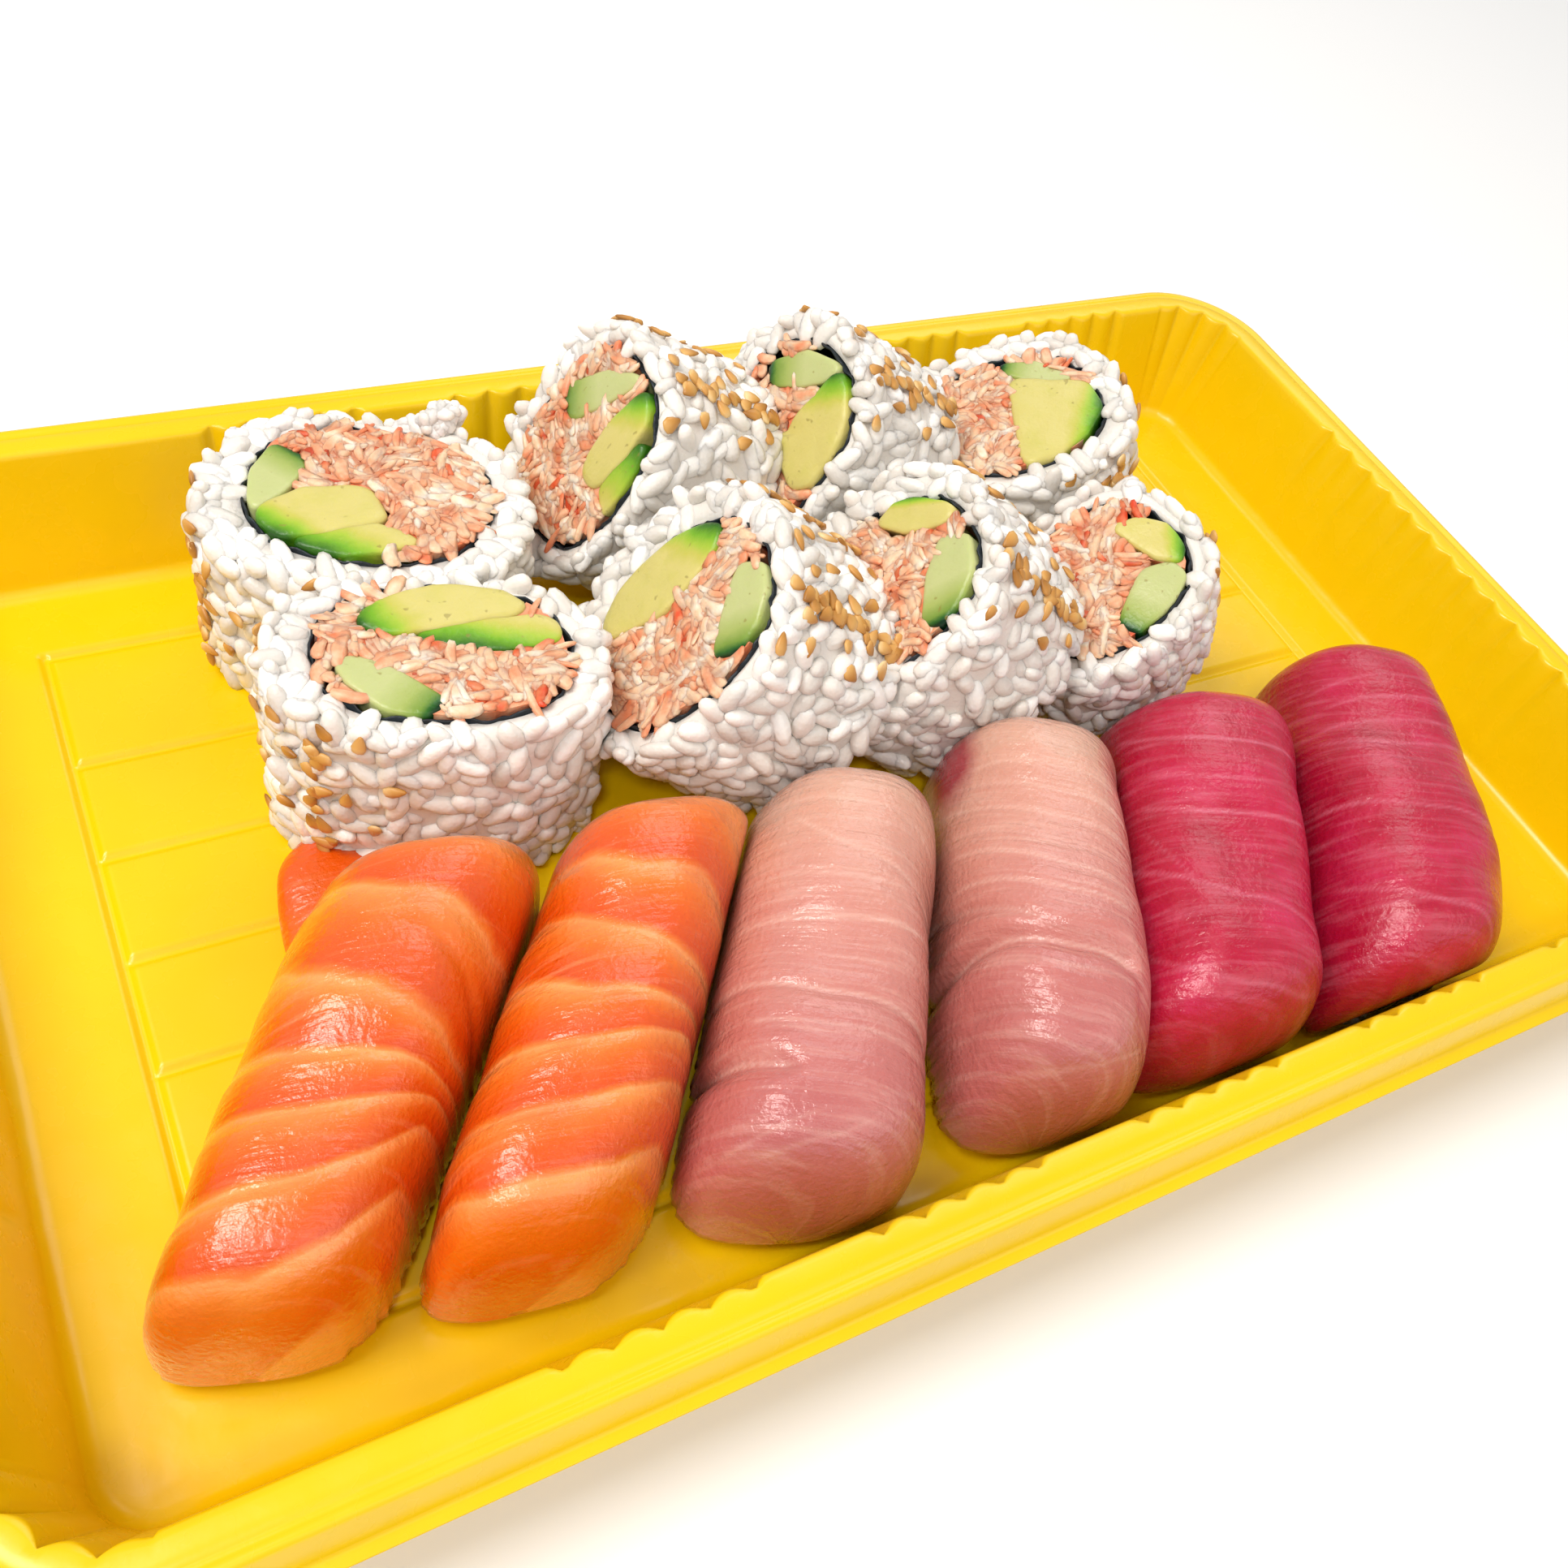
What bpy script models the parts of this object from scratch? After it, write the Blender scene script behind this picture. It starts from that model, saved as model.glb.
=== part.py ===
"""Takeaway sushi tray: a thermoformed tray with eight inside-out rolls and six nigiri.

The tray's long side runs along X, its front wall is at -Y, and its origin is the middle of
the face it rests on. Lengths are written in millimetres and scaled to metres once, in
new_mesh(). Every roll is built in its own frame, with the cut face at z = 0 and the roll
hanging below it, and is then leaned, turned and moved to its place.
"""
import math
import random

import bmesh
import bpy
from mathutils import Matrix, Vector
from mathutils.geometry import convex_hull_2d, tessellate_polygon

MM = 0.001
GAP = 0.3  # clear distance between pieces that touch
MERGE = 0.000002  # metres
SMOOTH_BELOW = math.radians(40)

# Tray
RIM_LENGTH = 270.0  # between the outer top edges of the rim
RIM_DEPTH = 166.4
RIM_CORNER = 19.0
RIM_Z = 24.7
RIM_FLAT = 6.1  # from the outer top edge to the wall
WALL_BASE = 11.6  # the wall's foot, measured in from the outer top edge
FLOOR_FILLET = 2.6
SKIRT_DROP = 5.0
SKIRT_FLARE = 1.2
LIP = 1.8
SHEET = 0.8
FLOOR_Z = 1.6  # upper face of the floor
GROOVE_WIDTH = 1.6
GROOVE_HALF_X = 106.9
GROOVE_HALF_Y = 57.3
GROOVE_PITCH = 17.6
CORNER_STEPS = 5
FLUTE_DEPTH = 1.5
SIDE_FLUTES = 11
SIDE_FLUTE_PITCH = 6.1
FRONT_FLUTES = 4
FRONT_FLUTE_PITCH = 5.6
FRONT_GROUPS = (-64.5, -25.0, 14.5, 54.0, 93.5)
CORNER_FLUTES = 3
NOTCH = 1.6  # half width of the notch at each end of a group of flutes

# Rolls
NORI = 0.6
OVAL = 2.4  # exponent of the oval: 2 is an ellipse, larger is squarer
ROLL_STEPS = 20
RICE_ROWS = 6
RICE_BUMP = 0.7
RICE_ROUND = 0.94  # a roll's girth at its cut faces
NEIGHBOUR_CLEAR = 1.1
AVOCADO_BELLY = 0.4  # share of a slice's width on its flatter side
SLICE_STEPS = 10
SLICE_PROUD = 0.3  # how far avocado and cucumber stand out of the cut face
PUSH_MORE = 2.0  # a clearance is widened outwards further than its piece
SEED_SIZE = (1.7, 1.0, 0.6)
SEEDS = 7
SEED_TURN = 0.618  # spreads the seeds evenly over their range
SEED_TOP = 0.16  # shares of the roll's length between which the seeds lie
SEED_SPAN = 0.66
LUMP_ROLL = 0  # a lump of rice that was pulled up at this roll's outer edge
LUMP_CENTRE = (-43.6, 62.7, 32.6)
LUMP_HALF = (4.6, 2.4, 3.8)

# Nigiri
FISH_THICK = 7.5
FISH_SIDE = 3.6
FISH_FOOT = 2.6  # height of the fish's lower edge above the floor
BAR_STEPS = 10
ARCH_STEPS = 9
CORE_BAR_STEPS = 6
CORE_ARCH_STEPS = 7
ARCH = 2.5  # exponent of the arch
END_BLUNT = 7  # larger makes the ends of a bar squarer
END_ROUND = 3.2
END_SHARE = 0.985  # where the last ring's width is taken, so that it has an area
END_LOW = 0.25  # share of the height that the ends keep whatever their width
PRESS_GAP = 0.2  # from the plane between two fish to each of them
TAIL_FISH = "salmon_1"  # its slice ends in a tongue that lies on the floor beside roll 5
TAIL_CENTRE = (-79.2, -1.6, 5.0)
TAIL_HALF = (7.6, 12.6, 3.0)
TAIL_TURN = -14
TAIL_ROLL = 4

# Each roll: cut face centre, lean from upright, heading of the lean, half sizes, length,
# half sizes and offset of the nori, the heading range of its sesame, and its fillings. A
# filling is its centre, length, width and angle in the cut face, and how far it is widened
# outwards to meet the nori. Crab fills what is left.
ROLLS = (
    dict(face=(-59.4, 49.6, 31.6), lean=0, heading=158, half=(24.2, 19.4), length=29.6,
         nori=(18.0, 14.8), offset=(-0.6, -1.0), seeds=(5, 95),
         avocado=((5.6, 5.4, 21, 8.5, 19, 0), (0.6, 11.4, 20, 5.6, 15, 5)),
         cucumber=(13.0, -1.8, 14, 6, 80, 6)),
    dict(face=(-25.0, 52.0, 32.6), lean=60, heading=182, half=(20.4, 17.4), length=26.8,
         nori=(16.4, 13.6), offset=(-0.8, 0.8), seeds=(150, 225),
         avocado=((-8.6, 3.8, 20, 7.4, 12, 0), (-7.0, 10.4, 16, 5.6, 16, 5)),
         cucumber=(-7.8, -6.6, 15, 6.4, 162, 6)),
    dict(face=(6.8, 47.6, 33.0), lean=59, heading=184, half=(21.0, 17.4), length=26.4,
         nori=(16.6, 13.4), offset=(-1.0, 0.8), seeds=(150, 225),
         avocado=((-8.4, 6.0, 20, 11, 28, 5),),
         cucumber=(-10.6, -5.6, 14, 5.4, 150, 6)),
    dict(face=(54.3, 43.6, 34.2), lean=20, heading=173, half=(20.2, 18.6), length=27.0,
         nori=(15.8, 13.8), offset=(0.4, 0.4), seeds=(110, 190),
         avocado=((-7.4, 0.6, 24, 12, 98, 6),),
         cucumber=(1.6, -10.6, 14, 4.2, 8, 4)),
    dict(face=(-59.6, 14.9, 33.8), lean=0, heading=164, half=(23.4, 15.6), length=31.9,
         nori=(17.6, 12.6), offset=(-0.8, -0.6), seeds=(-25, 60),
         avocado=((-1.0, -9.2, 25, 6.6, 10, 4), (-6.4, -3.4, 21, 5, 3, 0)),
         cucumber=(8.4, 6.8, 15, 5.8, 147, 6)),
    dict(face=(-26.4, 11.6, 35.0), lean=52, heading=170, half=(21.4, 19.4), length=27.4,
         nori=(16.8, 14.6), offset=(-1.0, 1.6), seeds=(140, 215),
         avocado=((0.6, -7.4, 27, 9, 3, 5),),
         cucumber=(-12.6, 5.8, 14, 6.8, 70, 6)),
    dict(face=(6.2, 8.9, 35.0), lean=50, heading=170, half=(21.8, 18.8), length=26.6,
         nori=(17.0, 13.8), offset=(-0.8, 0.8), seeds=(150, 215),
         avocado=((-10.2, -7.8, 15, 7.4, 172, 5),),
         cucumber=(-11.6, 4.8, 15, 6.8, 66, 6)),
    dict(face=(46.0, 2.9, 32.9), lean=31, heading=192, half=(18.8, 16.2), length=24.8,
         nori=(14.4, 12.2), offset=(-0.8, 0.0), seeds=(150, 235),
         avocado=((-10.4, -0.6, 13, 6.8, 106, 5),),
         cucumber=(-4.6, 8.0, 10, 6.4, 22, 6)),
)
# Rolls that lean on each other, the one that keeps its shape first
NEIGHBOURS = ((0, 1), (1, 2), (2, 3), (4, 5), (5, 6), (6, 7), (0, 4), (4, 1), (1, 5), (2, 5),
              (2, 6), (3, 6), (3, 7))

# Each nigiri: name, centre on the floor, slant from the tray's short side, length, width,
# height, and how far its front end is squared up with the front wall
NIGIRI = (
    ("salmon_1", (-85.0, -33.6), 38, 68.0, 26.6, 28.5, 0.4),
    ("salmon_2", (-54.4, -37.0), 37, 67.0, 26.2, 28.5, 0.5),
    ("yellowtail_1", (-23.6, -40.8), 28, 62.6, 30.8, 29.0, 0.6),
    ("yellowtail_2", (10.8, -41.4), 27, 61.0, 31.0, 28.5, 0.6),
    ("tuna_1", (44.4, -43.0), 27, 62.0, 31.8, 28.0, 0.8),
    ("tuna_2", (80.4, -43.0), 33, 65.0, 32.6, 28.0, 0.8),
)

for leftover in list(bpy.data.objects):
    bpy.data.objects.remove(leftover)

parts = bpy.data.collections.new("takeaway_sushi_tray")
tools = bpy.data.collections.new("cutters")
bpy.context.scene.collection.children.link(parts)
bpy.context.scene.collection.children.link(tools)


def material(name, colour, roughness):
    """A plain Principled material, colour in linear RGB."""
    made = bpy.data.materials.new(name)
    made.use_nodes = True
    shader = made.node_tree.nodes["Principled BSDF"]
    shader.inputs["Base Color"].default_value = (*colour, 1.0)
    shader.inputs["Roughness"].default_value = roughness
    shader.inputs["Metallic"].default_value = 0.0
    made.diffuse_color = (*colour, 1.0)
    return made


YELLOW_PLASTIC = material("yellow_plastic", (0.91, 0.62, 0.0), 0.25)
RICE = material("rice", (0.84, 0.80, 0.72), 0.4)
NORI_BLACK = material("nori", (0.012, 0.016, 0.014), 0.5)
CRAB = material("crab", (0.87, 0.42, 0.27), 0.5)
AVOCADO = material("avocado", (0.72, 0.68, 0.16), 0.4)
CUCUMBER = material("cucumber", (0.47, 0.62, 0.22), 0.35)
FISH = {
    "salmon": material("salmon", (0.92, 0.22, 0.02), 0.25),
    "yellowtail": material("yellowtail", (0.74, 0.36, 0.28), 0.3),
    "tuna": material("tuna", (0.60, 0.04, 0.09), 0.3),
}


def new_mesh(name, vertices, faces, look, collection):
    """A named object from millimetre vertices, its faces turned outwards."""
    shape = bmesh.new()
    corners = [shape.verts.new(Vector(point) * MM) for point in vertices]
    for face in faces:
        shape.faces.new([corners[index] for index in face])
    bmesh.ops.recalc_face_normals(shape, faces=shape.faces)
    mesh = bpy.data.meshes.new(name)
    shape.to_mesh(mesh)
    shape.free()
    mesh.materials.append(look)
    made = bpy.data.objects.new(name, mesh)
    collection.objects.link(made)
    if collection == tools:
        made.hide_render = True
        made.display_type = "WIRE"
    return made


def rings_to_faces(count, rings, closed):
    """Quads between successive rings of equal count, with flat ends or closed on itself."""
    faces = []
    for ring in range(rings if closed else rings - 1):
        above = (ring + 1) % rings
        for step in range(count):
            after = (step + 1) % count
            lower = (ring * count + step, ring * count + after)
            faces.append((*lower, above * count + after, above * count + step))
    if not closed:
        faces.append(tuple(range(count)))
        faces.append(tuple(range((rings - 1) * count, rings * count)))
    return faces


def apply_boolean(target, cutter, operation):
    """Cut, join or keep the overlap with one object, or with a whole collection, and apply it."""
    change = target.modifiers.new("change", "BOOLEAN")
    change.operation = operation
    if isinstance(cutter, bpy.types.Collection):
        change.operand_type = "COLLECTION"
        change.collection = cutter
    else:
        change.object = cutter
    bpy.context.view_layer.update()
    result = bpy.data.meshes.new_from_object(target.evaluated_get(bpy.context.evaluated_depsgraph_get()))
    target.modifiers.clear()
    target.data = result


def drop(item):
    """Remove a used cutter, or a collection of them."""
    if isinstance(item, bpy.types.Collection):
        for member in list(item.objects):
            bpy.data.objects.remove(member)
        bpy.data.collections.remove(item)
    else:
        bpy.data.objects.remove(item)


def keep_largest(target):
    """Keep only the largest body, with the doubled points that a Boolean leaves merged."""
    shape = bmesh.new()
    shape.from_mesh(target.data)
    bmesh.ops.remove_doubles(shape, verts=shape.verts, dist=MERGE)
    bodies = []
    waiting = set(shape.verts)
    while waiting:
        front = [waiting.pop()]
        body = set(front)
        while front:
            for edge in front.pop().link_edges:
                for vertex in edge.verts:
                    if vertex in waiting:
                        waiting.discard(vertex)
                        body.add(vertex)
                        front.append(vertex)
        bodies.append(body)
    sizes = [(max(v.co.x for v in b) - min(v.co.x for v in b)) * len(b) for b in bodies]
    keep = bodies[sizes.index(max(sizes))]
    bmesh.ops.delete(shape, geom=[v for v in shape.verts if v not in keep], context="VERTS")
    shape.to_mesh(target.data)
    shape.free()


# Tray: rings of the rounded rectangle, each point known by its parameter. Even whole numbers
# start a corner and odd ones start a straight side, so rings of unlike counts can be stitched.

CORNER_CENTRE = (RIM_LENGTH / 2 - RIM_CORNER, RIM_DEPTH / 2 - RIM_CORNER)


def ring_point(parameter, margin, bulge, height):
    """The point of a ring that lies a margin inside the rim's outer top edge."""
    part = int(parameter) % 8
    along = parameter - int(parameter)
    radius = RIM_CORNER - margin + bulge
    turn = math.radians(90 * (part // 2))
    signs = ((1, 1), (-1, 1), (-1, -1), (1, -1))
    if part % 2 == 0:
        start = Vector((signs[part // 2][0] * CORNER_CENTRE[0], signs[part // 2][1] * CORNER_CENTRE[1]))
        turn += math.radians(90 * along)
    else:
        first = signs[part // 2]
        second = signs[(part // 2 + 1) % 4]
        here = Vector((first[0] * CORNER_CENTRE[0], first[1] * CORNER_CENTRE[1]))
        there = Vector((second[0] * CORNER_CENTRE[0], second[1] * CORNER_CENTRE[1]))
        start = here.lerp(there, along)
        turn += math.radians(90)
    return (start.x + radius * math.cos(turn), start.y + radius * math.sin(turn), height)


def plain_parameters():
    """Corner steps only, as the straight sides need no point of their own."""
    return [2 * corner + step / CORNER_STEPS for corner in range(4) for step in range(CORNER_STEPS + 1)]


def flute_marks(groups, count, pitch):
    """Places along a wall with their bulge: one in the notch at a flute's edge, zero on its middle."""
    marks = {}
    for group in groups:
        for step in range(2 * count + 1):
            marks[group + (step - count) * pitch / 2] = 1.0 - step % 2
        reach = count * pitch / 2 + NOTCH
        marks[group - reach] = 0.0
        marks[group + reach] = 0.0
    return marks


def flute_parameters():
    """Parameters of the fluted rings with their bulge."""
    marks = {value: 0.0 for value in plain_parameters()}
    for corner in range(4):
        for step in range(CORNER_FLUTES):
            middle = 2 * corner + (step + 1) / (CORNER_FLUTES + 1)
            marks[middle - 0.1] = 0.0
            marks[middle] = 1.0
            marks[middle + 0.1] = 0.0
    for side in (1, 5):
        flip = -1 if side == 1 else 1
        for x, bulge in flute_marks(FRONT_GROUPS, FRONT_FLUTES, FRONT_FLUTE_PITCH).items():
            marks[side + 0.5 + flip * x / (2 * CORNER_CENTRE[0])] = bulge
    for side in (3, 7):
        for y, bulge in flute_marks((0.0,), SIDE_FLUTES, SIDE_FLUTE_PITCH).items():
            marks[side + 0.5 + y / (2 * CORNER_CENTRE[1])] = bulge
    values = sorted(marks)
    kept = [value for value, after in zip(values, values[1:] + [9.0]) if after - value > 0.0004]
    return [(value, marks[value]) for value in kept]


def stitch(first, second):
    """Triangles between two closed rings of (parameter, index), advancing the ring that lags."""
    faces = []
    a = 0
    b = 0
    while a < len(first) or b < len(second):
        next_a = first[a + 1][0] if a + 1 < len(first) else 8.0 + (a + 1 - len(first))
        next_b = second[b + 1][0] if b + 1 < len(second) else 8.0 + (b + 1 - len(second))
        here_a = first[a % len(first)][1]
        here_b = second[b % len(second)][1]
        if a < len(first) and (b >= len(second) or next_a <= next_b):
            faces.append((here_a, here_b, first[(a + 1) % len(first)][1]))
            a += 1
        else:
            faces.append((here_a, here_b, second[(b + 1) % len(second)][1]))
            b += 1
    return faces


def fill_between(outer, inner, vertices):
    """Triangles of the flat strip between two rings, whose flutes would fold a fan."""
    indices = [index for value, index in outer] + [index for value, index in inner]
    loops = [[Vector(vertices[index]) for value, index in ring] for ring in (outer, inner)]
    return [tuple(indices[corner] for corner in triangle) for triangle in tessellate_polygon(loops)]


def offset_profile(profile):
    """The lower side of the sheet: each corner moved SHEET along its mitre."""
    moved = []
    for index, (margin, height, depth) in enumerate(profile):
        before = Vector(profile[max(index - 1, 0)][:2])
        here = Vector((margin, height))
        after = Vector(profile[min(index + 1, len(profile) - 1)][:2])
        into = (here - before).normalized() if index > 0 else (after - here).normalized()
        out = (after - here).normalized() if index < len(profile) - 1 else into
        mitre = (Vector((-into.y, into.x)) + Vector((-out.y, out.x))).normalized()
        reach = SHEET / max(mitre.dot(Vector((-into.y, into.x))), 0.5)
        moved.append((margin + mitre.x * reach, height + mitre.y * reach, depth))
    return moved


def floor_bars(name, width, low, high):
    """Bars along the floor's grooves: five across, and the border round them."""
    bars = bpy.data.collections.new(name)
    tools.children.link(bars)
    lines = [(0.0, row * GROOVE_PITCH, 2 * GROOVE_HALF_X, width) for row in range(-2, 3)]
    lines += [(0.0, side * GROOVE_HALF_Y, 2 * GROOVE_HALF_X + width, width) for side in (-1, 1)]
    lines += [(side * GROOVE_HALF_X, 0.0, width, 2 * GROOVE_HALF_Y + width) for side in (-1, 1)]
    for x, y, long, wide in lines:
        shape = bmesh.new()
        bmesh.ops.create_cube(shape, size=MM)
        bmesh.ops.scale(shape, vec=(long, wide, high - low), verts=shape.verts)
        bmesh.ops.translate(shape, vec=Vector((x, y, (low + high) / 2)) * MM, verts=shape.verts)
        mesh = bpy.data.meshes.new(name)
        shape.to_mesh(mesh)
        shape.free()
        bar = bpy.data.objects.new(name, mesh)
        bar.hide_render = True
        bar.display_type = "WIRE"
        bars.objects.link(bar)
    return bars


def build_tray():
    """One sheet: floor, fluted wall, flat rim, skirt and lip, then the grooves of the floor.

    A profile point is its margin, its height, and its flutes' depth or None for no flutes.
    """
    profile = [
        (WALL_BASE + FLOOR_FILLET, FLOOR_Z, None),
        (WALL_BASE, FLOOR_Z + FLOOR_FILLET, 0.0),
        (RIM_FLAT, RIM_Z, FLUTE_DEPTH),
        (0.9, RIM_Z, None),
        (0.0, RIM_Z - 0.9, None),
        (-SKIRT_FLARE, RIM_Z - SKIRT_DROP, None),
        (-SKIRT_FLARE - LIP, RIM_Z - SKIRT_DROP, None),
    ]
    vertices = []
    rings = []
    plain = [(value, 0.0) for value in plain_parameters()]
    for margin, height, depth in profile + offset_profile(profile)[::-1]:
        ring = []
        for value, bulge in plain if depth is None else flute_parameters():
            ring.append((value, len(vertices)))
            vertices.append(ring_point(value, margin, bulge * (depth or 0.0), height))
        rings.append(ring)
    faces = [tuple(index for value, index in rings[0]), tuple(index for value, index in rings[-1])]
    rim_strips = (2, len(rings) - 4)
    for index, (first, second) in enumerate(zip(rings, rings[1:])):
        if index in rim_strips:
            faces += fill_between(first, second, vertices)
        else:
            faces += stitch(first, second)
    tray = new_mesh("tray", vertices, faces, YELLOW_PLASTIC, parts)
    ridges = floor_bars("floor_ridges", GROOVE_WIDTH + 2 * SHEET, 0.0, FLOOR_Z - SHEET / 2)
    apply_boolean(tray, ridges, "UNION")
    drop(ridges)
    channels = floor_bars("floor_channels", GROOVE_WIDTH, SHEET, FLOOR_Z + 1.0)
    apply_boolean(tray, channels, "DIFFERENCE")
    drop(channels)
    return tray


# Rolls: ovals in the cut face, with x down the lean


def oval(half, offset, steps, scale=1.0):
    """Points of an oval whose exponent is OVAL, as (x, y)."""
    points = []
    for step in range(steps):
        turn = 2 * math.pi * step / steps
        c = math.cos(turn)
        s = math.sin(turn)
        x = half[0] * math.copysign(abs(c) ** (2 / OVAL), c)
        y = half[1] * math.copysign(abs(s) ** (2 / OVAL), s)
        points.append((offset[0] + x * scale, offset[1] + y * scale))
    return points


def prism(name, outline, low, high, look, collection):
    """An upright prism on an outline."""
    vertices = [(x, y, z) for z in (low, high) for x, y in outline]
    return new_mesh(name, vertices, rings_to_faces(len(outline), 2, False), look, collection)


def tube(name, outer, inner, low, high, look, collection):
    """A tube between two outlines of equal count."""
    vertices = [(x, y, low) for x, y in outer] + [(x, y, high) for x, y in outer]
    vertices += [(x, y, high) for x, y in inner] + [(x, y, low) for x, y in inner]
    return new_mesh(name, vertices, rings_to_faces(len(outer), 4, True), look, collection)


def slice_outline(x, y, length, width, angle, grow):
    """A lens outline, its lower side the flatter one, grown by a clearance."""
    points = []
    turn = math.radians(angle)
    half = length / 2 + grow
    for step in range(SLICE_STEPS):
        around = 2 * math.pi * step / SLICE_STEPS
        along = half * math.cos(around)
        across = math.sin(around)
        across *= width * (AVOCADO_BELLY if across < 0 else 1 - AVOCADO_BELLY) + grow
        points.append((x + along * math.cos(turn) - across * math.sin(turn),
                       y + along * math.sin(turn) + across * math.cos(turn)))
    return points


def stick_outline(x, y, length, width, angle, grow):
    """A stick's outline: a four-sided piece whose outer side is a little round."""
    turn = math.radians(angle)
    corners = ((-0.5, -0.5), (0.5, -0.5), (0.5, 0.3), (0.25, 0.5), (-0.25, 0.5), (-0.5, 0.3))
    points = []
    for u, v in corners:
        along = u * (length + 2 * grow)
        across = v * (width + 2 * grow)
        points.append((x + along * math.cos(turn) - across * math.sin(turn),
                       y + along * math.sin(turn) + across * math.cos(turn)))
    return points


def widened(outline, push, grow=0.0):
    """The outline's hull with its copy moved away from the middle of the cut face."""
    if push == 0:
        return outline
    middle = sum((Vector(point) for point in outline), Vector((0, 0))) / len(outline)
    points = [Vector(point) for point in outline]
    points += [point + middle.normalized() * (push + grow) for point in points]
    return [tuple(points[index]) for index in convex_hull_2d(points)]


def rice_ring(name, roll, chance):
    """The rice: a bumpy oval tube, rounded at both cut faces."""
    outline = oval(roll["half"], (0, 0), ROLL_STEPS)
    hole = oval([half + GAP for half in roll["nori"]], roll["offset"], ROLL_STEPS)
    rings = []
    for row in range(RICE_ROWS + 1):
        share = row / RICE_ROWS
        height = -roll["length"] * (1 - share)
        end = row in (0, RICE_ROWS)
        ring = []
        for step, (x, y) in enumerate(outline):
            bump = 0.0 if end else RICE_BUMP * ((step + row) % 2) * chance.uniform(0.5, 1.0)
            girth = (RICE_ROUND if end else 1.0) * (1 + bump / math.hypot(x, y))
            lift = 0.0 if end else chance.uniform(-0.5, 0.5)
            ring.append((x * girth, y * girth, height + lift))
        rings.append(ring)
    rings.append([(x, y, 0.0) for x, y in hole])
    rings.append([(x, y, -roll["length"]) for x, y in hole])
    vertices = [point for ring in rings for point in ring]
    return new_mesh(name, vertices, rings_to_faces(ROLL_STEPS, len(rings), True), RICE, parts)


def blob(name, centre, half, turn):
    """An ellipsoid in the tray's frame, turned about the vertical, as a tool to fuse on."""
    shape = bmesh.new()
    bmesh.ops.create_icosphere(shape, subdivisions=2, radius=1.0)
    bmesh.ops.scale(shape, vec=Vector(half) * MM, verts=shape.verts)
    spin = Matrix.Rotation(math.radians(turn), 4, "Z")
    bmesh.ops.transform(shape, matrix=Matrix.Translation(Vector(centre) * MM) @ spin, verts=shape.verts)
    mesh = bpy.data.meshes.new(name)
    shape.to_mesh(mesh)
    shape.free()
    made = bpy.data.objects.new(name, mesh)
    made.hide_render = True
    made.display_type = "WIRE"
    tools.objects.link(made)
    return made


def seed_collection(roll, chance, place):
    """Sesame seeds half sunk in the side of a roll, spread over its seeded range."""
    seeds = bpy.data.collections.new("seeds")
    tools.children.link(seeds)
    low, high = roll["seeds"]
    for index in range(SEEDS):
        turn = math.radians(low + (high - low) * ((index * SEED_TURN) % 1.0))
        height = -roll["length"] * (SEED_TOP + SEED_SPAN * (index + 0.5) / SEEDS)
        c = math.cos(turn)
        s = math.sin(turn)
        x = roll["half"][0] * math.copysign(abs(c) ** (2 / OVAL), c)
        y = roll["half"][1] * math.copysign(abs(s) ** (2 / OVAL), s)
        shape = bmesh.new()
        bmesh.ops.create_icosphere(shape, subdivisions=1, radius=1.0)
        bmesh.ops.scale(shape, vec=Vector(SEED_SIZE) * MM, verts=shape.verts)
        spin = Matrix.Rotation(chance.uniform(0, math.pi), 4, "Z")
        outward = Vector((x / roll["half"][0] ** 2, y / roll["half"][1] ** 2, 0)).to_track_quat("Z", "X")
        seat = Matrix.Translation(Vector((x, y, height)) * MM) @ outward.to_matrix().to_4x4()
        bmesh.ops.transform(shape, matrix=place @ seat @ spin, verts=shape.verts)
        mesh = bpy.data.meshes.new("seed")
        shape.to_mesh(mesh)
        shape.free()
        seeds.objects.link(bpy.data.objects.new("seed", mesh))
    return seeds


def roll_place(roll):
    """The roll's own frame in the tray: leaned, turned and moved."""
    turn = Matrix.Rotation(math.radians(roll["heading"]), 4, "Z")
    lean = Matrix.Rotation(math.radians(roll["lean"]), 4, "Y")
    return Matrix.Translation(Vector(roll["face"]) * MM) @ turn @ lean


def settle(target, place):
    """Move a finished piece from the roll's frame to its place in the tray."""
    target.data.transform(place)
    target.data.update()


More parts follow.
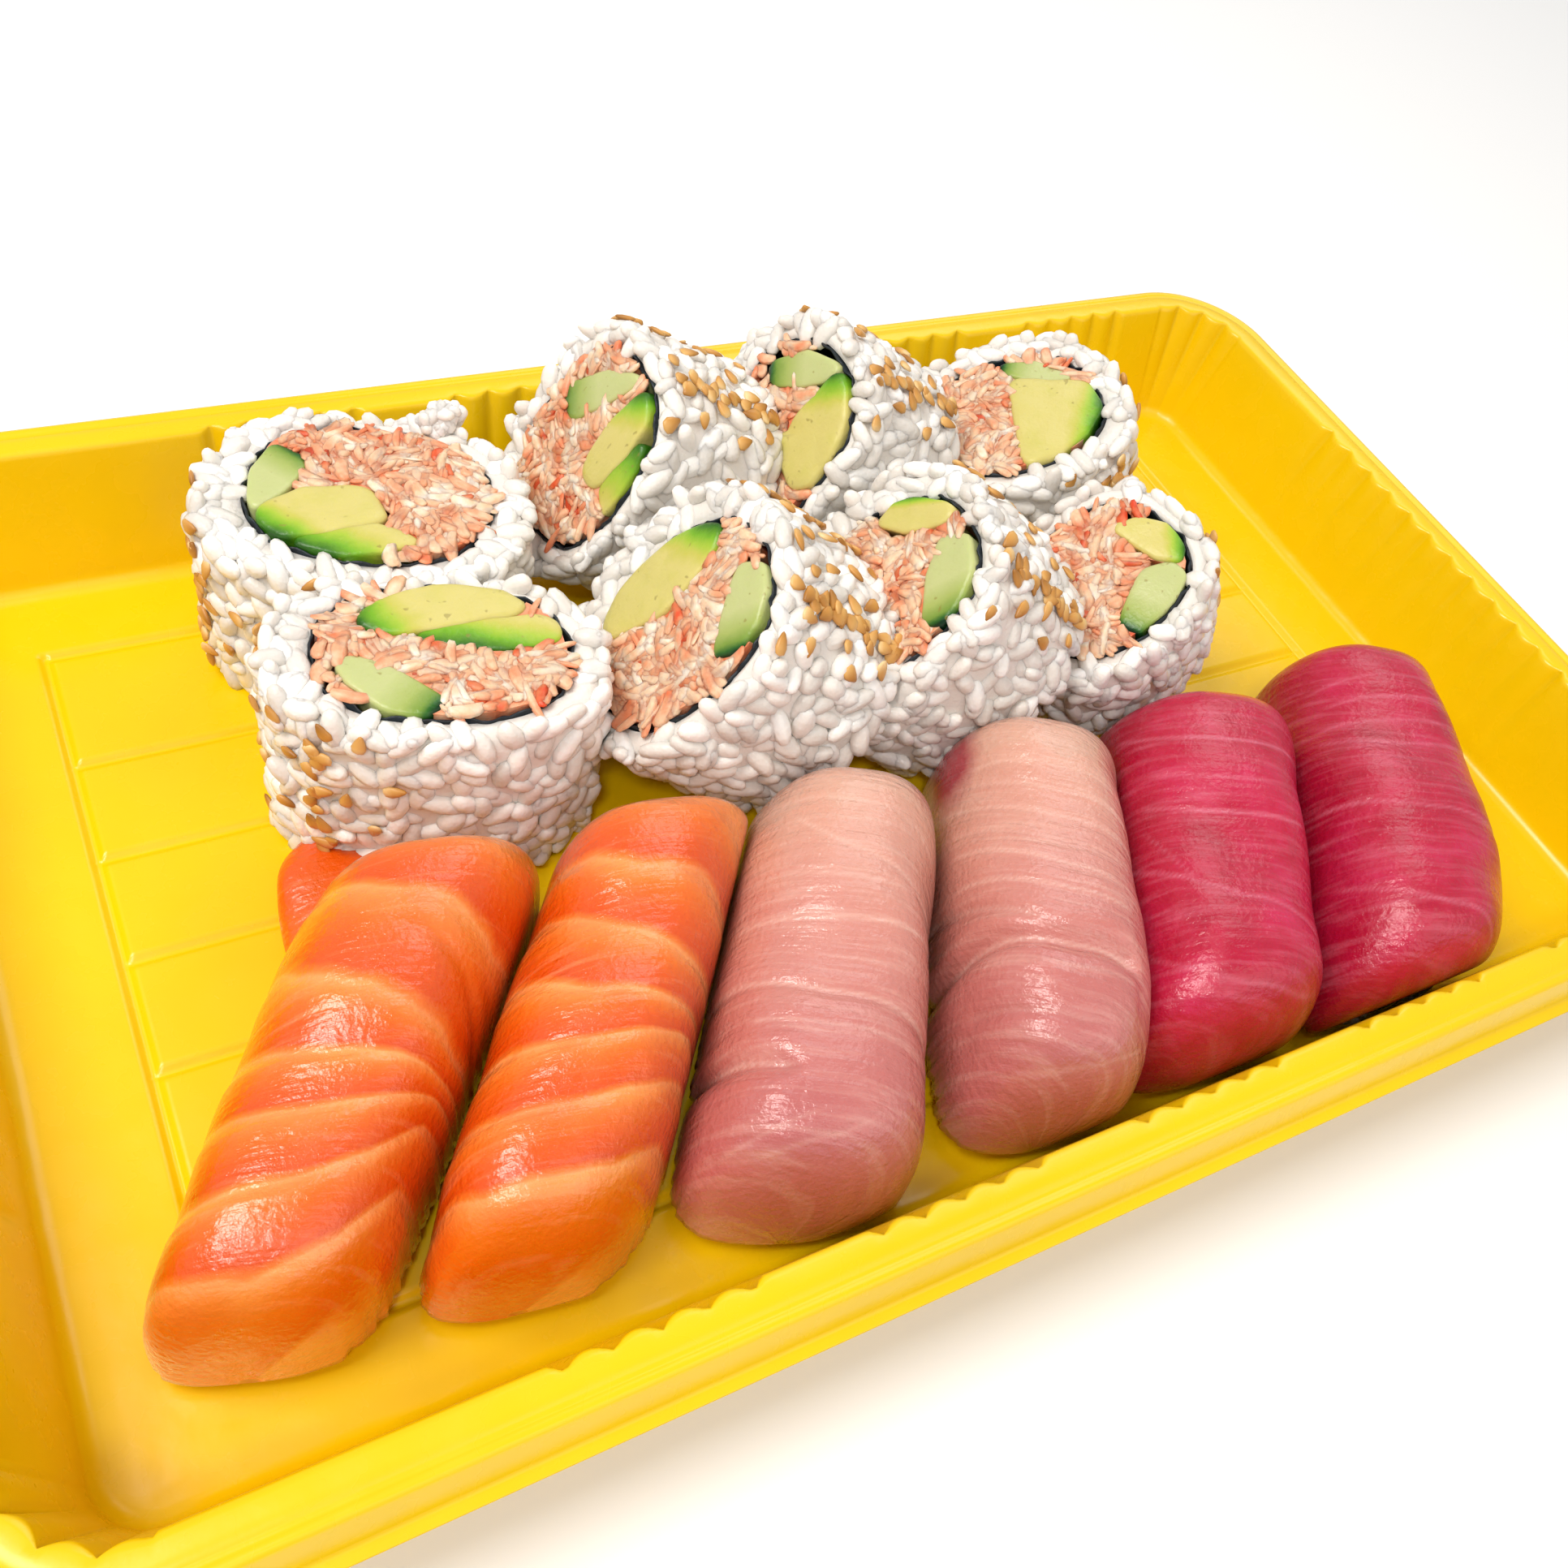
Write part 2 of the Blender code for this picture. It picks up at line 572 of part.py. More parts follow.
def build_roll(index, roll):
    """One roll: rice, nori, crab, avocado and cucumber, each running from face to face."""
    chance = random.Random(index)
    name = "roll_%d" % (index + 1)
    place = roll_place(roll)
    low = -roll["length"]
    nori_inner = [half - NORI for half in roll["nori"]]
    pieces = [tube(name + "_nori", oval(roll["nori"], roll["offset"], ROLL_STEPS),
                   oval(nori_inner, roll["offset"], ROLL_STEPS), low, 0.0, NORI_BLACK, parts)]
    room = prism("room", oval([half - GAP for half in nori_inner], roll["offset"], ROLL_STEPS),
                 low - 1.0, 1.0, RICE, tools)
    taken = []
    for order, (x, y, length, width, angle, push) in enumerate(roll["avocado"]):
        outline = widened(slice_outline(x, y, length, width, angle, 0.0), push)
        slab = prism(name + "_avocado_" + "ab"[order], outline, low, SLICE_PROUD, AVOCADO, parts)
        taken.append((slab, widened(slice_outline(x, y, length, width, angle, GAP), push, PUSH_MORE)))
    x, y, length, width, angle, push = roll["cucumber"]
    outline = widened(stick_outline(x, y, length, width, angle, 0.0), push)
    slab = prism(name + "_cucumber", outline, low, SLICE_PROUD, CUCUMBER, parts)
    taken.append((slab, widened(stick_outline(x, y, length, width, angle, GAP), push, PUSH_MORE)))
    crab = prism(name + "_crab", oval(roll["nori"], roll["offset"], ROLL_STEPS), low, 0.0, CRAB, parts)
    taken.append((crab, None))
    for order, (piece, outline) in enumerate(taken):
        apply_boolean(piece, room, "INTERSECT")
        for earlier, grown in taken[:order]:
            cutter = prism("clearance", grown, low - 1.0, 2.0, RICE, tools)
            apply_boolean(piece, cutter, "DIFFERENCE")
            drop(cutter)
        keep_largest(piece)
        pieces.append(piece)
    drop(room)
    for piece in pieces:
        settle(piece, place)
    rice = rice_ring(name + "_rice", roll, chance)
    settle(rice, place)
    return [rice] + pieces


def body_cutter(roll, grow):
    """A roll's plain outer body, grown by a clearance, to press a neighbour's rice back."""
    outline = oval([half + grow for half in roll["half"]], (0, 0), ROLL_STEPS)
    cutter = prism("neighbour", outline, -roll["length"] - grow, grow, RICE, tools)
    settle(cutter, roll_place(roll))
    return cutter


# Nigiri: an arch section swept along the bar, narrower and lower towards its rounded ends


def bar_rings(length, width, height, foot, shear, steps, arch):
    """Rings of half an oval bar from end to end, as (x, along, z), flat below at foot.

    The front end, at negative along, is sheared so that it faces the front wall.
    """
    rings = []
    for step in range(steps + 1):
        share = -math.cos(math.pi * step / steps)
        taper = (1 - min(abs(share), END_SHARE) ** END_BLUNT) ** (1 / END_ROUND)
        ring = []
        for turn in range(arch + 1):
            angle = math.pi * turn / arch
            c = math.cos(angle)
            x = 0.5 * width * taper * math.copysign(abs(c) ** (2 / ARCH), c)
            rise = (END_LOW + (1 - END_LOW) * taper) * taper ** 0.3
            z = foot + (height - foot) * rise * math.sin(angle) ** (2 / ARCH)
            ring.append((x, share * length / 2 + x * shear * (1 - share) / 2, z))
        rings.append(ring)
    return rings


def bar(name, place, sizes, foot, shear, steps, arch, look, collection):
    """A rounded bar lofted from its rings and laid on the tray's floor."""
    rings = bar_rings(*sizes, foot, shear, steps, arch)
    vertices = [point for ring in rings for point in ring]
    made = new_mesh(name, vertices, rings_to_faces(arch + 1, len(rings), False), look, collection)
    settle(made, place)
    return made


def build_nigiri(name, centre, slant, length, width, height, square):
    """A pressed rice bar and the fish draped over it."""
    turn = Matrix.Rotation(math.radians(-slant), 4, "Z")
    place = Matrix.Translation(Vector((centre[0], centre[1], FLOOR_Z)) * MM) @ turn
    shear = math.tan(math.radians(slant)) * square
    core = (length - 2 * FISH_SIDE - 2, width - 2 * FISH_SIDE, height - FISH_THICK)
    coarse = (CORE_BAR_STEPS, CORE_ARCH_STEPS)
    bar(name + "_rice", place, core, GAP, shear, *coarse, RICE, parts)
    look = FISH[name.split("_")[0]]
    sizes = (length, width, height)
    fish = bar(name + "_fish", place, sizes, FISH_FOOT, shear, BAR_STEPS, ARCH_STEPS, look, parts)
    if name == TAIL_FISH:
        tail = blob("tail", TAIL_CENTRE, TAIL_HALF, TAIL_TURN)
        apply_boolean(fish, tail, "UNION")
        drop(tail)
        roll = body_cutter(ROLLS[TAIL_ROLL], NEIGHBOUR_CLEAR)
        apply_boolean(fish, roll, "DIFFERENCE")
        drop(roll)
    grown = (core[0] + 2 * GAP, core[1] + 2 * GAP, core[2] + GAP)
    room = bar("room", place, grown, -1.0, shear, *coarse, RICE, tools)
    apply_boolean(fish, room, "DIFFERENCE")
    drop(room)
    keep_largest(fish)
    return fish


def press_together(first, second, first_fish, second_fish):
    """Flatten two neighbouring fish against each other along the plane midway between them."""
    middle = (Vector(first[1]) + Vector(second[1])) / 2
    turn = Matrix.Rotation(math.radians(-(first[2] + second[2]) / 2), 4, "Z")
    outline = [(x * PRESS_GAP, y * first[3]) for x, y in ((-1, -1), (1, -1), (1, 1), (-1, 1))]
    cutter = prism("contact", outline, -1.0, 2 * first[5], RICE, tools)
    settle(cutter, Matrix.Translation(Vector((*middle, 0.0)) * MM) @ turn)
    for fish in (first_fish, second_fish):
        apply_boolean(fish, cutter, "DIFFERENCE")
        keep_largest(fish)
    drop(cutter)


build_tray()
rolls = [build_roll(index, roll) for index, roll in enumerate(ROLLS)]
for first, second in NEIGHBOURS:
    cutter = body_cutter(ROLLS[first], NEIGHBOUR_CLEAR)
    for piece in rolls[second]:
        apply_boolean(piece, cutter, "DIFFERENCE")
    drop(cutter)
for index, (roll, pieces) in enumerate(zip(ROLLS, rolls)):
    seeds = seed_collection(roll, random.Random(index), roll_place(roll))
    apply_boolean(pieces[0], seeds, "UNION")
    drop(seeds)
    if index == LUMP_ROLL:
        lump = blob("lump", LUMP_CENTRE, LUMP_HALF, roll["heading"])
        apply_boolean(pieces[0], lump, "UNION")
        drop(lump)
    for piece in pieces:
        keep_largest(piece)
fishes = [build_nigiri(*item) for item in NIGIRI]
for index in range(len(NIGIRI) - 1):
    press_together(NIGIRI[index], NIGIRI[index + 1], fishes[index], fishes[index + 1])
for made in parts.objects:
    made.data.polygons.foreach_set("use_smooth", [True] * len(made.data.polygons))
    made.data.set_sharp_from_angle(angle=SMOOTH_BELOW)
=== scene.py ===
"""Looks of the takeaway sushi tray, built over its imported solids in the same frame.

Lengths in the sections below are millimetres, and mesh_object() scales them to metres. The
tray's long side runs along X and its front wall, where the nigiri lie, is at -Y.
"""

import math

import bpy
import numpy as np
from mathutils import Matrix, Vector


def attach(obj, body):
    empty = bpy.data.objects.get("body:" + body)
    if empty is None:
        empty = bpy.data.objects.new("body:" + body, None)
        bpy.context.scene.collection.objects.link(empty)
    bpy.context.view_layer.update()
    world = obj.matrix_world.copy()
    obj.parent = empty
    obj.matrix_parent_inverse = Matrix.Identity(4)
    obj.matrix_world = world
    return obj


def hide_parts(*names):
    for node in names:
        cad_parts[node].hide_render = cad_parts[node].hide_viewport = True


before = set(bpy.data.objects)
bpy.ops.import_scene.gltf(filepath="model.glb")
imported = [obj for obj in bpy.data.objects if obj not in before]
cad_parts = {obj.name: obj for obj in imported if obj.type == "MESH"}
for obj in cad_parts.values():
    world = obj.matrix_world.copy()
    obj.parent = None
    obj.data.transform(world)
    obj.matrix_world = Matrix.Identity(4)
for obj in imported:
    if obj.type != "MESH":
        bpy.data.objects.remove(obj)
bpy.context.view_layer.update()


# Yellow tray. The real one is a sheet of polypropylene, coloured right through and drawn
# over a mould in one piece, so its floor, fluted wall, flat rim, skirt and lip are one
# surface of even thickness with rounded bends. It is glossy, and no light comes through it.

MM = 0.001
RIM_LENGTH = 270.0
RIM_DEPTH = 166.4
RIM_CORNER = 19.0
RIM_Z = 24.7
# In from the rim's outer edge: its crease, its inner edge and the foot of the wall.
RIM_CREASE = 1.9
RIM_FLAT = 6.1
WALL_BASE = 11.6
FLOOR_FILLET = 2.6
SKIRT_DROP = 5.0
SKIRT_FLARE = 1.2
LIP = 1.8
SHEET = 0.8  # thickness
FLOOR_Z = 1.6  # the floor's upper face
GROOVE_WIDTH = 1.6
GROOVE_HALF_X = 106.9  # from the middle to the groove that runs round the floor
GROOVE_HALF_Y = 57.3
GROOVE_PITCH = 17.6
GROOVE_ROWS = tuple(row * GROOVE_PITCH for row in range(-2, 3))
FLUTE_DEPTH = 1.5
SIDE_FLUTES = 11
SIDE_FLUTE_PITCH = 6.1
FRONT_FLUTES = 4  # in each group
FRONT_FLUTE_PITCH = 5.6
FRONT_GROUPS = (-64.5, -25.0, 14.5, 54.0, 93.5)
CORNER_RIBS = 4
CORNER_POINTS = 41
AROUND = 0.72  # spacing of the mesh along the wall
FLOOR_STRIP = 2.4  # from the foot of the wall to the floor's grid


def mesh_object(name, points, *faces):
    """A smooth object at the origin from points in millimetres and arrays of quads or triangles."""
    mesh = bpy.data.meshes.new(name)
    corners = np.concatenate([part.ravel() for part in faces]).astype(np.int32)
    sizes = np.concatenate([np.full(len(part), part.shape[1]) for part in faces])
    starts = np.concatenate([[0], np.cumsum(sizes)[:-1]]).astype(np.int32)
    mesh.vertices.add(len(points))
    mesh.vertices.foreach_set("co", (np.asarray(points, float) * MM).astype(np.float32).ravel())
    mesh.loops.add(len(corners))
    mesh.loops.foreach_set("vertex_index", corners)
    mesh.polygons.add(len(sizes))
    mesh.polygons.foreach_set("loop_start", starts)
    mesh.polygons.foreach_set("use_smooth", np.ones(len(sizes), bool))
    mesh.update(calc_edges=True)
    mesh.validate()
    made = bpy.data.objects.new(name, mesh)
    bpy.context.scene.collection.objects.link(made)
    return made


def point_value(piece, name, values):
    """A number for each point, which a material reads as an attribute."""
    layer = piece.data.attributes.new(name, "FLOAT", "POINT")
    layer.data.foreach_set("value", np.asarray(values, float).astype(np.float32).ravel())


def grid_faces(rows, columns, wrap_rows=False, wrap_columns=False):
    """Quads of a grid of points, where point (row, column) has index row * columns + column."""
    row = np.arange(rows if wrap_rows else rows - 1)[:, None]
    column = np.arange(columns if wrap_columns else columns - 1)[None, :]
    above = (row + 1) % rows
    right = (column + 1) % columns
    corners = ((row, column), (row, right), (above, right), (above, column))
    index = np.broadcast_arrays(*[one * columns + other for one, other in corners])
    return np.stack(index, -1).reshape(-1, 4)


def closed_faces(rows, columns):
    """Faces of a grid that wraps round its columns and ends in two poles, added as last points."""
    ring = np.arange(columns)
    after = (ring + 1) % columns
    last = (rows - 1) * columns
    tips = np.concatenate([np.stack([after, ring, np.full(columns, rows * columns)], 1),
                           np.stack([ring + last, after + last, np.full(columns, rows * columns + 1)], 1)])
    return grid_faces(rows, columns, wrap_columns=True), tips


def show(piece, material, slot, *nodes):
    """Gives a piece its material and lets it stand for its solids. The slot is not used."""
    piece.data.materials.clear()
    piece.data.materials.append(material)
    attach(piece, "root")
    if nodes:
        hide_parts(*nodes)
    return piece


def add(tree, kind, inputs=(), stops=(), **settings):
    """One node with its settings. Each input is given a value, a node or a node's output.

    Stops are the (position, hex colour) pairs of a colour ramp.
    """
    node = tree.nodes.new(kind)
    for name, value in settings.items():
        setattr(node, name, value)
    for key, value in dict(inputs).items():
        if isinstance(value, bpy.types.Node):
            value = value.outputs[0]
        if isinstance(value, bpy.types.NodeSocket):
            tree.links.new(value, node.inputs[key])
        else:
            node.inputs[key].default_value = value
    for index, (position, colour) in enumerate(stops):
        if index > 1:
            node.color_ramp.elements.new(position)
        node.color_ramp.elements[index].position = position
        node.color_ramp.elements[index].color = linear(colour)
    return node


def linear(code):
    """sRGB hex to linear RGBA."""
    parts = [int(code[i:i + 2], 16) / 255 for i in (1, 3, 5)]
    return (*[p / 12.92 if p <= 0.04045 else ((p + 0.055) / 1.055) ** 2.4 for p in parts], 1.0)


def lumps(size):
    """Scale of a noise, on coordinates in metres, whose lumps are this many millimetres wide."""
    return 1 / (size * MM)


def new_material(name, inputs):
    """A material with one Principled shader of the given values, its tree and its shader."""
    made = bpy.data.materials.new(name)
    made.use_nodes = True
    tree = made.node_tree
    tree.nodes.clear()
    shader = add(tree, "ShaderNodeBsdfPrincipled", inputs)
    add(tree, "ShaderNodeOutputMaterial", {"Surface": shader})
    return made, tree, shader


def yellow_polypropylene():
    """Glossy moulded polypropylene: warm yellow, with faint waves left by the drawing.

    The mould's grit is a few tenths of a millimetre, and is drawn at 1.2 mm so that it shows.
    """
    made, tree, shader = new_material("yellow_polypropylene", {"IOR": 1.49})
    where = add(tree, "ShaderNodeTexCoord").outputs["Object"]
    tone = add(tree, "ShaderNodeTexNoise", {"Vector": where, "Scale": lumps(45), "Detail": 3.0})
    colour = add(tree, "ShaderNodeValToRGB", {"Fac": tone}, stops=((0.3, "#E6BE00"), (0.7, "#EEC600")))
    waves = add(tree, "ShaderNodeTexNoise", {"Vector": where, "Scale": lumps(9), "Detail": 1.0})
    grit = add(tree, "ShaderNodeTexNoise", {"Vector": where, "Scale": lumps(1.2), "Detail": 2.0})
    wavy = add(tree, "ShaderNodeBump", {"Height": waves, "Distance": 0.2 * MM})
    skin = add(tree, "ShaderNodeBump", {"Height": grit, "Distance": 0.015 * MM, "Normal": wavy})
    patches = add(tree, "ShaderNodeTexNoise", {"Vector": where, "Scale": lumps(6), "Detail": 3.0})
    rough = add(tree, "ShaderNodeMapRange", {"Value": patches, "To Min": 0.18, "To Max": 0.36})
    tree.links.new(colour.outputs[0], shader.inputs["Base Color"])
    tree.links.new(skin.outputs[0], shader.inputs["Normal"])
    tree.links.new(rough.outputs[0], shader.inputs["Roughness"])
    return made


def flute_notch(along, groups, count, pitch):
    """One in each sharp notch between two flutes of a group, zero on their round tops.

    Between the first and last notch of a group the depth is 1 - |sin|^0.7, and outside them it
    falls from 1 to nothing within a third of a flute.
    """
    depth = np.zeros_like(along)
    for group in groups:
        place = (along - group) / pitch + count / 2
        inside = (place > 0) & (place < count)
        depth = np.where(inside, 1 - np.abs(np.sin(np.pi * place)) ** 0.7, depth)
        edge = np.minimum(np.abs(place), np.abs(place - count))
        depth = np.maximum(depth, np.where(inside, 0, np.clip(1 - edge * 3.2, 0, 1) ** 1.5))
    return depth


def tray_profile():
    """Margin from the rim's outer edge, height, and share of the flutes' depth, from floor to lip."""
    turn = np.linspace(0, math.pi / 2, 6)
    foot_x = WALL_BASE + FLOOR_FILLET - FLOOR_FILLET * np.sin(turn)
    foot_z = FLOOR_Z + FLOOR_FILLET - FLOOR_FILLET * np.cos(turn)
    foot = np.stack([foot_x, foot_z, np.linspace(0, 0.1, 6)], 1)
    rise = np.linspace(0, 1, 8)[1:-1]
    start = np.array([WALL_BASE, FLOOR_Z + FLOOR_FILLET])
    end = np.array([RIM_FLAT + 0.5, RIM_Z - 1.3])
    wall = np.concatenate([start + (end - start) * rise[:, None], (0.1 + 0.9 * rise)[:, None]], 1)
    top = [(RIM_FLAT + 0.45, RIM_Z - 1.0, 1.0), (RIM_FLAT + 0.25, RIM_Z - 0.45, 0.95),
           (RIM_FLAT - 0.1, RIM_Z - 0.12, 0.7), (RIM_FLAT - 0.8, RIM_Z, 0.3),
           (RIM_FLAT - 2.2, RIM_Z + 0.05, 0.0), (RIM_CREASE + 1.0, RIM_Z, 0.0),
           (RIM_CREASE + 0.45, RIM_Z - 0.3, 0.0), (RIM_CREASE, RIM_Z - 0.5, 0.0),
           (RIM_CREASE - 0.4, RIM_Z - 0.32, 0.0), (1.0, RIM_Z - 0.1, 0.0), (0.35, RIM_Z - 0.3, 0.0),
           (0.05, RIM_Z - 0.9, 0.0)]
    low = RIM_Z - SKIRT_DROP
    skirt = [(-0.6 * SKIRT_FLARE, low + 1.9, 0.0), (-SKIRT_FLARE, low + 0.5, 0.0),
             (-SKIRT_FLARE - 0.2, low + 0.1, 0.0), (-SKIRT_FLARE - 0.6, low, 0.0),
             (-SKIRT_FLARE - LIP + 0.2, low, 0.0), (-SKIRT_FLARE - LIP, low - 0.1, 0.0)]
    return np.concatenate([foot, wall, np.array(top), np.array(skirt)])


def tray_rings(profile):
    """Rounded rectangles, one for each profile point.

    Along a straight side a point moves straight out, and round a corner it moves out from the
    corner's centre, so that every ring has the same count. Returns the points, ring by ring.
    """
    centre = np.array([RIM_LENGTH / 2 - RIM_CORNER, RIM_DEPTH / 2 - RIM_CORNER])
    signs = np.array([(1, 1), (-1, 1), (-1, -1), (1, -1)])
    base, out, notch = [], [], []
    for corner in range(4):
        turn = np.radians(90 * corner + np.linspace(0, 90, CORNER_POINTS))
        here = signs[corner] * centre
        base.append(np.broadcast_to(here, (CORNER_POINTS, 2)))
        out.append(np.stack([np.cos(turn), np.sin(turn)], 1))
        ribs = np.abs(np.sin(np.linspace(0, 1, CORNER_POINTS) * CORNER_RIBS * np.pi))
        notch.append((1 - ribs ** 0.7) * np.sin(np.linspace(0, np.pi, CORNER_POINTS)) ** 0.3)
        there = signs[(corner + 1) % 4] * centre
        count = int(np.linalg.norm(there - here) / AROUND)
        side = here + (there - here) * ((np.arange(count) + 0.5) / count)[:, None]
        base.append(side)
        out.append(np.broadcast_to((np.cos(turn[-1]), np.sin(turn[-1])), (count, 2)))
        if corner % 2 == 0:
            notch.append(flute_notch(side[:, 0], FRONT_GROUPS, FRONT_FLUTES, FRONT_FLUTE_PITCH))
        else:
            notch.append(flute_notch(side[:, 1], (0.0,), SIDE_FLUTES, SIDE_FLUTE_PITCH))
    base, out, notch = np.concatenate(base), np.concatenate(out), np.concatenate(notch)
    reach = RIM_CORNER - profile[:, 0, None] + profile[:, 2, None] * FLUTE_DEPTH * notch
    flat = base + reach[:, :, None] * out
    height = np.broadcast_to(profile[:, 1, None], reach.shape)
    return np.concatenate([flat, height[:, :, None]], 2)


def groove_depth(x, y):
    """Depth of the floor's grooves: a smooth valley along each line of the pattern."""
    def valley(distance):
        return np.clip(1.35 * (1 - np.abs(distance) / (GROOVE_WIDTH * 0.62)), 0, 1)
    inside_x = np.abs(x) < GROOVE_HALF_X + GROOVE_WIDTH / 2
    inside_y = np.abs(y) < GROOVE_HALF_Y + GROOVE_WIDTH / 2
    rows = [valley(y - row) for row in GROOVE_ROWS]
    rows.append(valley(np.abs(y) - GROOVE_HALF_Y))
    across = np.max(rows, axis=0) * inside_x
    border = valley(np.abs(x) - GROOVE_HALF_X) * inside_y
    return SHEET * np.maximum(across, border)


def floor_lines(half, grooves):
    """Grid lines across the floor: a few beside each groove, and the floor's edges."""
    beside = np.array([-1.0, -0.8, -0.5, -0.26, 0.0, 0.26, 0.5, 0.8, 1.0]) * GROOVE_WIDTH
    lines = np.concatenate([groove + beside for groove in grooves] + [np.array([-half, half])])
    return np.unique(np.round(lines, 3))


def strip_faces(points, ring, border, half_x, half_y):
    """Triangles between the innermost ring and the edge of the floor's grid.

    Both are followed by their turn round the middle. Each edge of the ring makes a triangle with
    the nearest point of the grid, and the grid's edges in between make the others.
    """
    turn_border = np.unwrap(np.arctan2(points[border, 1] / half_y, points[border, 0] / half_x))
    turn_ring = np.unwrap(np.arctan2(points[ring, 1] / half_y, points[ring, 0] / half_x))
    start = np.searchsorted(turn_border, turn_ring[0])
    border = np.roll(border, -start)
    turn_border = np.unwrap(np.roll(turn_border, -start))
    middle = np.concatenate([turn_border, [turn_border[0] + 2 * np.pi]])
    nearest = np.searchsorted((middle[1:] + middle[:-1]) / 2, turn_ring) % len(border)
    after = np.roll(ring, -1)
    strips = [np.stack([ring, after, border[nearest]], 1)]
    steps = (np.roll(nearest, -1) - nearest) % len(border)
    for step in range(int(steps.max())):
        has = steps > step
        one = border[(nearest[has] + step) % len(border)]
        two = border[(nearest[has] + step + 1) % len(border)]
        strips.append(np.stack([after[has], two, one], 1))
    return np.concatenate(strips)


def build_tray():
    """The floor's grid joined to the wall's rings by a strip of triangles, then given thickness."""
    profile = tray_profile()
    rings = tray_rings(profile)
    around = rings.shape[1]
    inner = profile[0, 0] + FLOOR_STRIP
    half_x = RIM_LENGTH / 2 - inner
    half_y = RIM_DEPTH / 2 - inner
    x_lines = floor_lines(half_x, (-GROOVE_HALF_X, GROOVE_HALF_X))
    x_lines = np.unique(np.concatenate([x_lines, np.linspace(-half_x, half_x, 41)]))
    y_lines = floor_lines(half_y, (*GROOVE_ROWS, -GROOVE_HALF_Y, GROOVE_HALF_Y))
    y_lines = np.unique(np.concatenate([y_lines, np.linspace(-half_y, half_y, 31)]))
    x, y = np.meshgrid(x_lines, y_lines)
    floor = np.stack([x, y, FLOOR_Z - groove_depth(x, y)], 2)
    points = np.concatenate([rings.reshape(-1, 3), floor.reshape(-1, 3)])
    first = rings.shape[0] * around
    index = np.arange(x.size).reshape(x.shape) + first
    border = np.concatenate([index[:-1, -1], index[-1, :0:-1], index[:0:-1, 0], index[0, :-1]])
    wall = grid_faces(rings.shape[0], around, wrap_columns=True)
    strip = strip_faces(points, np.arange(around), border, half_x, half_y)
    tray = mesh_object("tray_sheet", points, wall[:, ::-1], grid_faces(*x.shape) + first, strip)
    solid = tray.modifiers.new("sheet", "SOLIDIFY")
    solid.thickness = SHEET * MM
    solid.offset = -1.0
    return tray


show(build_tray(), yellow_polypropylene(), "yellow_plastic", "tray")


# Rice of the rolls. Short, plump, polished grains, boiled and dressed with vinegar, so they
# are milky, moist and stuck together. Each roll is rice pressed round a sheet of nori and cut
# with a wet knife: grains lie every way round its side, and flatter in its cut faces.

# Each roll, as in the solids: cut face centre, lean from upright, heading of the lean, half
# sizes, length, half sizes and offset of the nori.
ROLLS = (
    dict(face=(-59.4, 49.6, 31.6), lean=0, heading=158, half=(24.2, 19.4), length=29.6,
         nori=(18.0, 14.8), offset=(-0.6, -1.0)),
    dict(face=(-25.0, 52.0, 32.6), lean=60, heading=182, half=(20.4, 17.4), length=26.8,
         nori=(16.4, 13.6), offset=(-0.8, 0.8)),
    dict(face=(6.8, 47.6, 33.0), lean=59, heading=184, half=(21.0, 17.4), length=26.4,
         nori=(16.6, 13.4), offset=(-1.0, 0.8)),
    dict(face=(54.3, 43.6, 34.2), lean=20, heading=173, half=(20.2, 18.6), length=27.0,
         nori=(15.8, 13.8), offset=(0.4, 0.4)),
    dict(face=(-59.6, 14.9, 33.8), lean=0, heading=164, half=(23.4, 15.6), length=31.9,
         nori=(17.6, 12.6), offset=(-0.8, -0.6)),
    dict(face=(-26.4, 11.6, 35.0), lean=52, heading=170, half=(21.4, 19.4), length=27.4,
         nori=(16.8, 14.6), offset=(-1.0, 1.6)),
    dict(face=(6.2, 8.9, 35.0), lean=50, heading=170, half=(21.8, 18.8), length=26.6,
         nori=(17.0, 13.8), offset=(-0.8, 0.8)),
    dict(face=(46.0, 2.9, 32.9), lean=31, heading=192, half=(18.8, 16.2), length=24.8,
         nori=(14.4, 12.2), offset=(-0.8, 0.0)),
)
OVAL = 2.4  # exponent of the rolls' oval
# Pairs of rolls of which the first gives way to the second.
PRESSED_BY = ((1, 0), (2, 1), (3, 2), (5, 4), (6, 5), (7, 6), (4, 0), (1, 4), (5, 1), (5, 2), (6, 2),
              (6, 3), (7, 3))
GRAIN = (6.0, 3.2, 2.7)  # length, width and thickness of a boiled grain
GRAIN_SPACING = 3.4
ROW_STEP = 0.87  # from row to row of a triangular pattern, as a share of its spacing
FACE_SPACING = 2.8  # of the grains in the cut faces
FACE_LEVEL = 0.95  # of their middles, under the cut
CORE_DEPTH = 0.5  # how far the core lies under the roll's side
CORE_CUT = 0.8  # and under its cut faces
PRESS_STEP = 0.03  # share by which a point is drawn in, again and again, until it is clear
PRESS_STEPS = 24
CONTACT = 0.2  # how far what lies on the tray is pressed against it
# A lump of loose grains stuck to the back of the first roll.
LUMP_ROLL = 0
LUMP_GRAINS = 26
LUMP_CENTRE = (-43.6, 62.7, 32.4)
LUMP_HALF = (2.6, 0.9, 1.9)


def roll_axes(roll):
    """The roll's frame as (origin, matrix): x down the lean, z out of the cut face."""
    turn = Matrix.Rotation(math.radians(roll["heading"]), 3, "Z")
    lean = Matrix.Rotation(math.radians(roll["lean"]), 3, "Y")
    return np.array(roll["face"]), np.array(turn @ lean)


def to_tray(roll, points):
    """Points of the roll's frame in the tray's frame."""
    origin, axes = roll_axes(roll)
    return points @ axes.T + origin


def to_roll(roll, points):
    """Points of the tray's frame in the roll's frame."""
    origin, axes = roll_axes(roll)
    return (points - origin) @ axes


